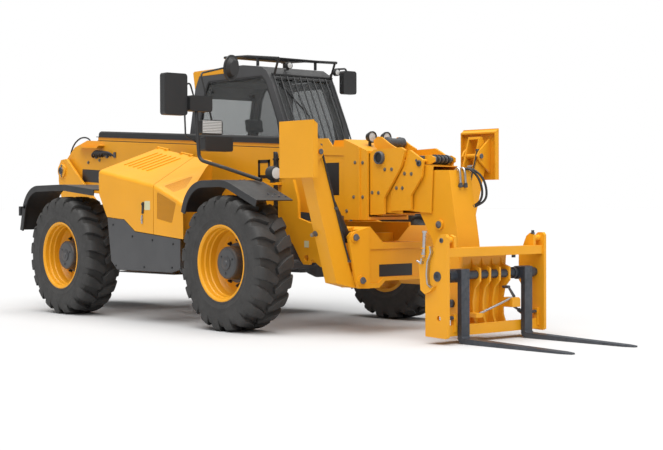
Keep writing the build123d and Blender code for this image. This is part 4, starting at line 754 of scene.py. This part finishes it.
def leg_details():
    """Pin caps, lock knobs and hoses of the stabilisers."""
    for side, name in ((-1, "right"), (1, "left")):
        shape = Shape()
        for y, z in ((0.527, 0.473), (0.604, 0.843)):
            shape.lathe([(0.0, 0.03), (0.007, 0.03), (0.01, 0.026), (0.01, 0.0)], (1.6355, side * y, z),
                        (1, 0, 0), 28)
            shape.bolt((1.628, side * (y - 0.037), z - 0.005), (1, 0, 0), 0.008)
        shape.piece(f"clevis_caps_{name}", "dark_steel", "chassis")
        shape = Shape()
        for x, out in ((1.6195, 1), (1.4005, -1)):
            shape.lathe([(0.0, 0.0235), (0.006, 0.0235), (0.009, 0.02), (0.009, 0.0)],
                        (x, side * 0.981, 1.564), (out, 0, 0), 28)
        shape.piece(f"pad_pin_caps_{name}", "dark_steel", f"{name}_pad")
        # service hose clipped along the leg's front face
        hose(f"leg_hose_{name}", [(1.59, side * y, z) for y, z in (
            (0.64, 0.64), (0.7, 0.8), (0.79, 1.09), (0.88, 1.37), (0.96, 1.62))], 0.008, f"{name}_leg")
        clips = Shape()
        for y, z in ((0.64, 0.64), (0.79, 1.09), (0.96, 1.62)):
            clips.box((1.582, side * y - 0.014, z - 0.01), (1.6, side * y + 0.014, z + 0.01))
        clips.piece(f"leg_hose_clips_{name}", "cast", f"{name}_leg", bevel=0.001)
        # spring catch that holds the raised leg, with its bright knob
        catch, knob = Shape(), Shape()
        at, out = Vector((1.462, side * 0.904, 0.878)), (0, side * 0.959, -0.284)
        catch.lathe([(-0.004, 0.024), (0.01, 0.024), (0.014, 0.018), (0.034, 0.018), (0.034, 0.0)], at, out,
                    28)
        knob.lathe([(0.03, 0.012), (0.04, 0.016), (0.052, 0.016), (0.056, 0.012), (0.056, 0.0)], at, out, 24)
        catch.piece(f"leg_catch_{name}", "cast", f"{name}_leg")
        knob.piece(f"leg_knob_{name}", "zinc", f"{name}_leg")


# ---------------------------------------------------------------- cab, seat and interior
SIDE_WINDOW = ((-0.415, 1.5), (-0.43, 1.62), (-0.52, 1.985), (-0.7, 2.375), (-0.77, 2.44), (-1.69, 2.44),
               (-1.76, 2.33), (-1.88, 1.88), (-1.88, 1.5))
DOOR_WINDOW = ((-0.49, 1.18), (-0.515, 1.6), (-0.605, 1.98), (-0.775, 2.335), (-0.82, 2.36), (-1.31, 2.36),
               (-1.31, 1.18))
REAR_QUARTER = ((-1.48, 1.56), (-1.48, 2.4), (-1.77, 2.4), (-1.84, 2.28), (-1.93, 1.86), (-1.93, 1.56))
SEAT_AT = (-1.12, 0.72)
SCREEN_LINE = ((-0.341, 1.421), (-0.348, 1.596), (-0.443, 1.962), (-0.632, 2.362))


def inset(points, amount):
    """Convex outline moved inwards."""
    result = []
    corners = [Vector(p) for p in points]
    for before, here, after in zip(corners[-1:] + corners[:-1], corners, corners[1:] + corners[:1]):
        one, two = (before - here).normalized(), (after - here).normalized()
        result.append(tuple(here + (one + two) * amount / max(0.05, math.sin(one.angle(two)))))
    return result


def rounded(points, radius, steps=5):
    """Outline with rounded corners."""
    result = []
    corners = [Vector(p) for p in points]
    for before, here, after in zip(corners[-1:] + corners[:-1], corners, corners[1:] + corners[:1]):
        one, two = before - here, after - here
        cut = min(radius / math.tan(one.angle(two) / 2), 0.45 * one.length, 0.45 * two.length)
        start, end = here + one.normalized() * cut, here + two.normalized() * cut
        for k in range(steps + 1):
            t = k / steps
            result.append(tuple(start * (1 - t) ** 2 + here * 2 * t * (1 - t) + end * t ** 2))
    return result


def band(shape, outline, width, low, high, corner=0.04):
    """Flat band inside an outline in side view, between two y values."""
    outer, inner = rounded(outline, corner), rounded(inset(outline, width), max(0.008, corner - width))
    shape.quads([[(o[0], low, o[1]), (o[0], high, o[1]), (i[0], high, i[1]), (i[0], low, i[1])]
                 for o, i in zip(outer, inner)], caps=False, loop=True)


def screen_x(z):
    """Outer face of the windscreen at a height."""
    for (x0, z0), (x1, z1) in zip(SCREEN_LINE, SCREEN_LINE[1:]):
        if z <= z1:
            return x0 + (x1 - x0) * (z - z0) / (z1 - z0) + 0.006
    return SCREEN_LINE[-1][0]


def cab_details():
    """Window seals, latch, wiper, headliner, door lock and interior fittings."""
    seals = Shape()
    band(seals, SIDE_WINDOW, 0.02, 0.302, 0.3155)
    band(seals, REAR_QUARTER, 0.02, 1.1345, 1.148)
    seals.box((screen_x(1.421) - 0.004, 0.362, 1.421), (screen_x(1.421) + 0.01, 1.088, 1.44))
    seals.piece("cab_window_seals", "rubber", "chassis")
    seals = Shape()
    band(seals, DOOR_WINDOW, 0.02, 1.1345, 1.148)
    seals.piece("door_window_seal", "rubber", "door")
    latch = Shape()
    latch.box((-0.985, 0.3, 2.225), (-0.925, 0.316, 2.252))
    latch.rod((-0.955, 0.316, 2.238), (-0.955, 0.296, 2.238), 0.016, 20)
    latch.rod((-1.64, 0.316, 2.326), (-1.64, 0.3, 2.326), 0.018, 20)
    latch.rod((-1.64, 0.316, 1.6), (-1.64, 0.3, 1.6), 0.018, 20)
    latch.piece("window_latches", "black_plastic", "chassis", bevel=0.002)
    wiper = Shape()
    pivot = (screen_x(2.35) + 0.006, 0.42, 2.35)
    elbow = (screen_x(2.02) + 0.014, 0.66, 2.02)
    wiper.rod((pivot[0] - 0.01, pivot[1], pivot[2]), (pivot[0] + 0.014, pivot[1], pivot[2]), 0.018, 20)
    wiper.rod(pivot, elbow, 0.007, 8)
    blade = [(screen_x(z) + 0.009, 0.62 + (2.2 - z) * 0.22, z) for z in (2.24, 2.12, 2.02, 1.94, 1.84)]
    for one, two in zip(blade, blade[1:]):
        wiper.rod(one, two, 0.0065, 8)
    wiper.piece("screen_wiper", "black_plastic", "chassis")
    lining = Shape()
    lining.box((-1.84, 0.344, 2.405), (-1.26, 1.106, 2.458))
    lining.box((-0.87, 0.344, 2.41), (-0.77, 1.106, 2.49))
    lining.piece("cab_headliner", "black_plastic", "chassis", bevel=0.006)
    trim = Shape()
    trim.box((-1.42, 0.346, 1.03), (-0.52, 0.378, 1.38))
    trim.piece("cab_trim", "black_plastic", "chassis", bevel=0.004)
    # right-hand armrest with its lever, instrument pod and stalks
    shape = Shape()
    shape.prism(rounded(((-1.28, 1.16), (-0.78, 1.2), (-0.76, 1.27), (-0.86, 1.33), (-1.28, 1.29)), 0.03),
                0.375, 0.455)
    shape.prism(rounded(((-0.5, 1.375), (-0.42, 1.375), (-0.44, 1.5), (-0.52, 1.47)), 0.02), 0.62, 0.82)
    shape.piece("cab_consoles", "black_plastic", "chassis", bevel=0.004)
    shape = Shape()
    shape.lathe([(-0.02, 0.03), (0.0, 0.026), (0.01, 0.01), (0.075, 0.009), (0.085, 0.018), (0.13, 0.021),
                 (0.142, 0.012), (0.144, 0.0)], (-0.85, 0.415, 1.318), (0.15, 0, 1), 24)
    for y in (0.6, 0.84):
        shape.rod((-0.64, 0.72, 1.42), (-0.69, y, 1.44), 0.006, 10)
        shape.rod((-0.69, y, 1.44), (-0.694, y + (0.03 if y > 0.7 else -0.03), 1.444), 0.01, 12)
    shape.piece("cab_levers", "rubber", "chassis")
    shape = Shape()
    for y in (0.655, 0.72, 0.785):
        shape.lathe([(0.0, 0.026), (0.004, 0.026), (0.004, 0.022), (0.002, 0.0)], (-0.51, y, 1.43),
                    (-0.9, 0, 0.35), 28)
    shape.piece("cab_dials", "lens", "chassis")
    pedals = Shape()
    for y in (0.6, 0.72, 0.84):
        pedals.prism(((-0.665, 0.86), (-0.64, 0.86), (-0.69, 0.955), (-0.705, 0.95)), y - 0.035, y + 0.035)
        pedals.rod((-0.57, y, 0.96), (-0.672, y, 0.905), 0.008, 10)
    pedals.piece("cab_pedals", "dark_steel", "chassis", bevel=0.002)
    lock = Shape()
    lock.rod((-0.485, 1.15, 1.12), (-0.485, 1.163, 1.12), 0.014, 20)
    lock.piece("door_lock", "steel", "door")


def stuffed(name, low, high, taper, channels, cap, lean=(0.0, 0.0)):
    """Seat pad swollen by cloth pressure from a slightly smaller block, then sewn along its channels."""
    low, high = Vector(low), Vector(high)
    rings = []
    for z, shrink in ((low.z, taper), (high.z, 0.0)):
        shift = Vector(lean) * ((z - low.z) / (high.z - low.z))
        rings.append([(x + shift.x, y + shift.y, z) for x, y in (
            (low.x + shrink, low.y + shrink), (high.x - shrink, low.y + shrink),
            (high.x - shrink, high.y - shrink), (low.x + shrink, high.y - shrink))])
    shape = Shape()
    shape.quads(rings)
    item = shape.piece(name, "fabric", "chassis")
    item.parent = None
    corners = item.modifiers.new("bevel", "BEVEL")
    corners.width = 0.022
    corners.segments = 3
    even = item.modifiers.new("remesh", "REMESH")
    even.mode = "VOXEL"
    even.voxel_size = 0.0075
    item.data = bpy.data.meshes.new_from_object(item.evaluated_get(bpy.context.evaluated_depsgraph_get()))
    item.modifiers.clear()
    rest = [vertex.co.copy() for vertex in item.data.vertices]
    cloth = item.modifiers.new("cloth", "CLOTH")
    cloth.settings.use_pressure = True
    cloth.settings.uniform_pressure_force = 4
    cloth.settings.effector_weights.gravity = 0
    cloth.settings.quality = 5
    for step in range(1, 21):
        bpy.context.scene.frame_set(step)
    blown = item.evaluated_get(bpy.context.evaluated_depsgraph_get())
    moved = [vertex.co.copy() for vertex in blown.data.vertices]
    item.modifiers.clear()
    bpy.context.scene.frame_set(1)
    for vertex, start, end in zip(item.data.vertices, rest, moved):
        step = end - start
        vertex.co = start + step * min(1.0, cap / max(step.length, 1e-9))
    # sewn channels run across the pad: axis, place, depth
    centre = (low + high) / 2
    for axis, place, depth in channels:
        for vertex in item.data.vertices:
            near = math.exp(-((vertex.co[axis] - place) / 0.009) ** 2)
            if near > 0.02:
                inward = centre - vertex.co
                inward[axis] = 0
                vertex.co += inward.normalized() * near * depth
    smooth = item.modifiers.new("smooth", "SUBSURF")
    smooth.levels = smooth.render_levels = 1
    item.data.polygons.foreach_set("use_smooth", [True] * len(item.data.polygons))
    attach(item, "chassis")
    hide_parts("seat")


def square(x, y, half):
    """Rounded square about a point."""
    corners = [(x - half, y - half), (x + half, y - half), (x + half, y + half), (x - half, y + half)]
    return rounded(corners, 0.03, 4)


def seat_details():
    """Driver's seat: padded cushion, back and headrest on a sprung base with a bellows."""
    x, y = SEAT_AT
    stuffed("seat_cushion", (x - 0.215, y - 0.228, 1.195), (x + 0.235, y + 0.228, 1.292), 0.02,
            ((1, y - 0.12, 0.01), (1, y + 0.12, 0.01), (0, x + 0.02, 0.006)), 0.012)
    stuffed("seat_back", (x - 0.245, y - 0.205, 1.29), (x - 0.165, y + 0.205, 1.868), 0.0,
            ((1, y - 0.11, 0.01), (1, y + 0.11, 0.01), (2, 1.47, 0.006), (2, 1.66, 0.006)), 0.012,
            (-0.1, 0.0))
    stuffed("seat_headrest", (x - 0.33, y - 0.112, 1.895), (x - 0.275, y + 0.112, 2.035), 0.0,
            ((2, 1.965, 0.005),), 0.01, (-0.022, 0.0))
    base = Shape()
    base.box((x - 0.17, y - 0.17, 0.7905), (x + 0.17, y + 0.17, 0.835))
    for k in range(5):
        z = 0.835 + k * 0.062
        folds = ((0.118, 0.0), (0.14, 0.02), (0.143, 0.031), (0.14, 0.042), (0.118, 0.062))
        base.quads([[(u, v, z + lift) for u, v in square(x, y, half)] for half, lift in folds])
    base.box((x - 0.19, y - 0.19, 1.145), (x + 0.2, y + 0.19, 1.186))
    base.prism(((x - 0.235, 1.17), (x - 0.325, 1.84), (x - 0.355, 1.838), (x - 0.262, 1.17)), y - 0.2,
               y + 0.2)
    for side in (-1, 1):
        base.rod((x - 0.334, y + side * 0.06, 1.8), (x - 0.322, y + side * 0.06, 1.95), 0.007, 12)
        base.box((x - 0.265, y + side * 0.205 - 0.012, 1.18), (x - 0.12, y + side * 0.205 + 0.012, 1.262))
    base.piece("seat_base", "black_plastic", "chassis", bevel=0.003, replaces=("seat",))


# ---------------------------------------------------------------- engine pod, mirrors, lamps
HEXAGON = [math.pi / 6 + math.pi / 3 * k for k in range(6)]


def perforated(name, outline, place, body, pitch=0.0125, hole=0.0037):
    """Sheet with rows of hexagonal holes and a pressed rim; place turns u, v, height into a point."""
    sheet, rim = Shape(), Shape()
    kept = inset(outline, 0.012)
    edges = list(zip(kept, kept[1:] + kept[:1]))
    turn = 1 if sum(a[0] * b[1] - b[0] * a[1] for a, b in edges) > 0 else -1

    def inside(u, v):
        return all(turn * ((b[0] - a[0]) * (v - a[1]) - (b[1] - a[1]) * (u - a[0])) > 0 for a, b in edges)

    us, vs = [p[0] for p in outline], [p[1] for p in outline]
    rows, columns = int((max(vs) - min(vs)) / (pitch * 0.866)) + 2, int((max(us) - min(us)) / pitch) + 2
    for row in range(rows):
        for column in range(columns):
            u = min(us) + (column + 0.5 * (row % 2)) * pitch
            v = min(vs) + row * pitch * 0.866
            if not inside(u, v):
                continue
            outer, inner, deep = (
                [place(u + reach * math.cos(a), v + reach * math.sin(a), height) for a in HEXAGON]
                for reach, height in ((pitch / math.sqrt(3), 0.003), (hole, 0.003), (hole, 0.0008))
            )
            sheet.quads([outer, inner, deep], caps=False)
    # the sheet is in yellow paint darkened as painted shade
    sheet.piece(name, "shaded_mesh_paint", body)
    outer, inner = rounded(outline, 0.03), rounded(inset(outline, 0.02), 0.02)
    rim.quads([[place(*o, 0.0002), place(*o, 0.0046), place(*i, 0.004), place(*i, 0.0024)]
               for o, i in zip(outer, inner)],
              caps=False, loop=True)
    rim.piece(f"{name}_rim", "yellow_paint", body)
    # black sheet under the holes: painted shade for the dark space behind the mesh
    back = Shape()
    face = rounded(inset(outline, 0.004), 0.028)
    back.quads([[place(*p, 0.0001) for p in face], [place(*p, 0.0007) for p in face]])
    back.piece(f"{name}_back", "black_paint", body)


def pod_details():
    """Mesh panels, bonnet latch, blank plate and the bolts round the skirt."""
    side = ((-0.56, 1.275), (-0.565, 0.976), (-0.285, 0.93), (-0.205, 1.15))
    perforated("pod_side_mesh", side, lambda u, v, h: (u, -1.145 - h, v), "chassis")
    origin, along = Vector((-0.603, -1.15, 1.31)), Vector((0.485, 0, -0.189)).normalized()
    up = Vector((0.33, -0.33, 0.88)).normalized()
    across = up.cross(along)
    top = ((0.06, 0.05), (0.41, 0.05), (0.066, 0.455))
    perforated("pod_top_mesh", top, lambda u, v, h: tuple(origin + along * u + across * v + up * (h - 0.005)),
               "chassis")
    latch, handle = Shape(), Shape()
    latch.prism(rounded(((-0.792, 1.04), (-0.762, 1.04), (-0.752, 1.15), (-0.782, 1.15)), 0.008), -1.158,
                -1.1495)
    latch.rod((-0.772, -1.15, 1.13), (-0.772, -1.166, 1.13), 0.012, 20)
    latch.piece("bonnet_latch", "black_plastic", "engine_cover", bevel=0.0015)
    handle.prism(rounded(((-0.796, 0.944), (-0.772, 0.944), (-0.772, 1.026), (-0.796, 1.026)), 0.008), -1.16,
                 -1.1495)
    handle.rod((-0.784, -1.15, 0.985), (-0.784, -1.168, 0.985), 0.009, 20)
    handle.piece("bonnet_handle", "steel", "engine_cover", bevel=0.0015)
    plate = Shape()
    plate.prism(rounded(((-0.749, 1.074), (-0.655, 1.074), (-0.655, 1.16), (-0.749, 1.16)), 0.006), -1.1512,
                -1.1498)
    plate.piece("bonnet_blank_plate", "blank_plate", "engine_cover")
    bolts = Shape()
    for x, z in ((-1.3, 0.93), (-0.96, 0.82), (-0.62, 0.79), (-0.28, 0.76), (-1.25, 0.53), (-0.76, 0.53),
                 (-0.3, 0.54)):
        bolts.bolt((x, -1.1495, z), (0, -1, 0), 0.008)
    bolts.piece("skirt_bolts", "black_paint", "chassis")


def mirror_details():
    """Mirror glasses on the housings' rear faces, ribs on the outer edges and lamp lenses."""
    glass, ribs = Shape(), Shape()
    for x, y0, y1, z0, z1 in ((-0.25, -1.305, -1.049, 1.948, 2.334), (-0.245, -1.04, -0.786, 1.99, 2.136),
                              (-0.24, -0.87, -0.546, 1.624, 1.76), (-0.505, 1.125, 1.305, 2.27, 2.512)):
        face = rounded(((y0 + 0.014, z0 + 0.014), (y1 - 0.014, z0 + 0.014), (y1 - 0.014, z1 - 0.014),
                        (y0 + 0.014, z1 - 0.014)), 0.02)
        glass.prism(face, x - 0.0015, x + 0.001, "x")
        outer, inner = rounded(((y0, z0), (y1, z0), (y1, z1), (y0, z1)), 0.03), face
        ribs.quads([[(x + 0.001, *o), (x - 0.004, *o), (x - 0.004, *i), (x + 0.001, *i)]
                    for o, i in zip(outer, inner)],
                   caps=False, loop=True)
    glass.piece("mirror_glasses", "mirror", "chassis")
    ribs.piece("mirror_rims", "black_plastic", "chassis")
    lens = Shape()
    for k in range(8):
        z = 1.792 + k * 0.0148
        lens.prism(((-0.901, z), (-0.681, z), (-0.681, z + 0.011), (-0.901, z + 0.011)), -0.1505, -0.1475,
                   "x")
    lens.piece("work_lamp_lens", "lens", "chassis", bevel=0.001)
    lens, rim = Shape(), Shape()
    for x, y, z, radius in ((-0.64, 0.562, 2.545, 0.036), (-0.52, 1.11, 2.497, 0.036),
                            (0.87, -0.85, 1.4, 0.062), (0.87, 0.85, 1.4, 0.062)):
        lens.lathe([(-0.001, radius * 0.84), (0.003, radius * 0.8), (0.007, radius * 0.45), (0.008, 0.0)],
                   (x, y, z), (1, 0, 0), 32)
        rim.lathe([(-0.012, radius + 0.0015), (0.004, radius), (0.006, radius * 0.93), (0.004, radius * 0.84),
                   (-0.004, radius * 0.82)], (x, y, z), (1, 0, 0), 40, closed=True)
        rim.rod((x - 0.04, y, z), (x - 0.052, y, z), radius * 0.8, 24, radius * 0.5)
    lens.piece("lamp_lenses", "lens", "chassis")
    rim.piece("lamp_rims", "black_plastic", "chassis")
    red, amber = Shape(), Shape()
    for side in (-1, 1):
        for shape, near, far in ((red, 1.014, 1.09), (amber, 1.094, 1.166)):
            low, high = sorted((side * near, side * far))
            shape.prism(rounded(((low, 1.015), (high, 1.015), (high, 1.105), (low, 1.105)), 0.01), -3.1385,
                        -3.1345, "x")
    red.piece("tail_lamp_red", "lens_red", "chassis", bevel=0.001)
    amber.piece("tail_lamp_amber", "lens_amber", "chassis", bevel=0.001)


def chassis_details():
    """Transfer case, propeller shafts, hose post, tow pin, fender bolts and blank plates."""
    case = Shape()
    case.prism(((-1.23, 0.64), (-1.18, 0.86), (-0.9, 0.9), (-0.78, 0.82), (-0.77, 0.56), (-0.85, 0.37),
                (-1.12, 0.37), (-1.2, 0.48)), -0.19, 0.19)
    for x in (-1.1, -0.98, -0.86):
        case.box((x - 0.006, -0.205, 0.42), (x + 0.006, 0.205, 0.84))
    for side in (-1, 1):
        low, high = sorted((side * 0.185, side * 0.3905))
        case.box((-1.05, low, 0.7), (-0.95, high, 0.75))
    for end in (-1.16, -0.81):
        out = -1 if end < -1 else 1
        case.lathe([(-0.08, 0.07), (0.0, 0.07), (0.01, 0.06), (0.06, 0.055), (0.06, 0.0)], (end, 0, 0.43),
                   (out, 0, 0), 32)
    case.piece("transfer_case", "cast", "chassis", bevel=0.006)
    shafts = Shape()
    for start, end in (((-0.752, 0, 0.43), (0.244, 0, 0.605)), ((-1.218, 0, 0.43), (-2.024, 0, 0.605))):
        a, b = Vector(start), Vector(end)
        shafts.rod(a.lerp(b, 0.09), a.lerp(b, 0.91), 0.026, 28)
        for low, high in ((0.0, 0.03), (0.97, 1.0)):
            shafts.rod(a.lerp(b, low), a.lerp(b, high), 0.052, 28)
        for low, high in ((0.02, 0.11), (0.89, 0.98)):
            shafts.rod(a.lerp(b, low), a.lerp(b, high), 0.03, 8)
    shafts.piece("propeller_shafts", "dark_steel", "chassis", bevel=0.002)
    post = Shape()
    post.box((0.15, -0.3, 0.965), (0.175, -0.272, 1.62))
    post.box((0.14, -0.421, 0.955), (0.186, -0.27, 0.975))
    for z in (1.1, 1.32, 1.54):
        post.box((0.146, -0.306, z), (0.206, -0.268, z + 0.018))
    post.piece("hose_post", "black_paint", "chassis", bevel=0.002)
    for index, y in enumerate((-0.296, -0.276)):
        hose(f"post_hose_{index}", ((0.188, y, 0.972), (0.19, y, 1.15), (0.19, y, 1.35), (0.188, y, 1.56),
                                    (0.176, y, 1.618), (0.158, y, 1.612)), 0.008, "chassis")
    pin = Shape()
    pin.lathe([(-0.04, 0.0), (-0.04, 0.0175), (0.105, 0.0175), (0.105, 0.028), (0.117, 0.028), (0.12, 0.022),
               (0.12, 0.0)], (-3.735, 0, 0.475), (0, 0, 1), 28)
    pin.rod((-3.735, -0.03, 0.604), (-3.735, 0.03, 0.604), 0.006, 12)
    pin.piece("tow_pin", "steel", "chassis")
    bolts = Shape()
    for x in (0.875, 0.935):
        z = 1.345 - (x - 0.545) * 0.3913
        for side in (-1, 1):
            for y in (0.8, 0.875, 0.95):
                bolts.bolt((x, side * y, z - 0.0008), (0.364, 0, 0.931), 0.009)
    for x in (0.365, 0.425):
        for side in (-1, 1):
            bolts.bolt((x, side * 0.86, 1.3415), (0, 0, 1), 0.009)
            bolts.bolt((x - WHEELBASE, side * 0.86, 1.329), (0, 0, 1), 0.009)
    bolts.piece("fender_bolts", "dark_steel", "chassis")
    plates = Shape()
    plates.box((1.5875, -0.29, 0.495), (1.5895, 0.11, 0.6))
    plates.piece("front_blank_panel", "black_paint", "chassis")
    plates = Shape()
    for side in (-1, 1):
        low, high = sorted((side * 0.4497, side * 0.4512))
        plates.box((0.775, low, 0.735), (0.838, high, 0.795))
    plates.piece("lug_blank_plates", "blank_plate", "chassis")
    plates = Shape()
    plates.box((-3.642, 0.11, 0.535), (-3.6395, 0.42, 0.63))
    plates.piece("rear_blank_plate", "steel", "chassis")
    # bolts that hold the counterweight
    bolts = Shape()
    for x in (-3.45, -3.1, -2.75):
        for side in (-1, 1):
            bolts.bolt((x, side * 0.4495, 0.58), (0, side, 0), 0.016)
    for z in (0.8, 0.9):
        for y in (-0.33, -0.2, 0.2, 0.33):
            bolts.bolt((-3.5195, y, z), (-1, 0, 0), 0.013)
    bolts.piece("rear_bolts", "dark_steel", "chassis")
    # engine's fan cowl, filter and pipe on its brackets, which show under the open bonnet
    engine = Shape()
    engine.lathe([(0.0, 0.205), (0.05, 0.215), (0.06, 0.2), (0.03, 0.06), (0.07, 0.05), (0.07, 0.0)],
                 (-1.268, -0.81, 0.92), (-1, 0, 0), 40)
    engine.rod((-1.15, -0.7, 1.175), (-1.15, -0.7, 1.29), 0.07, 32)
    engine.rod((-1.15, -0.7, 1.285), (-1.15, -0.7, 1.3), 0.055, 32)
    engine.rod((-1.0, -0.93, 1.21), (-0.7, -0.93, 1.21), 0.052, 32)
    for x in (-0.98, -0.9, -0.82, -0.74):
        engine.box((x - 0.012, -0.96, 1.175), (x + 0.012, -0.7, 1.215))
    engine.piece("engine_fittings", "cast", "chassis", bevel=0.003)
    hose("engine_hose", ((-1.15, -0.7, 1.295), (-1.15, -0.72, 1.345), (-1.1, -0.8, 1.36), (-1.03, -0.9, 1.32),
                         (-0.99, -0.93, 1.255), (-0.96, -0.93, 1.215)), 0.028, "chassis")


bpy.context.scene.view_settings.view_transform = "Standard"
place_camera()
build_stage()
build_light()
dress_frame()
for corner, side in CORNERS:
    tyre(corner)
    wheel_fittings(corner, side)
bolt_rows()
boom_details()
nose_details()
carriage_details()
leg_details()
cab_details()
seat_details()
pod_details()
mirror_details()
chassis_details()
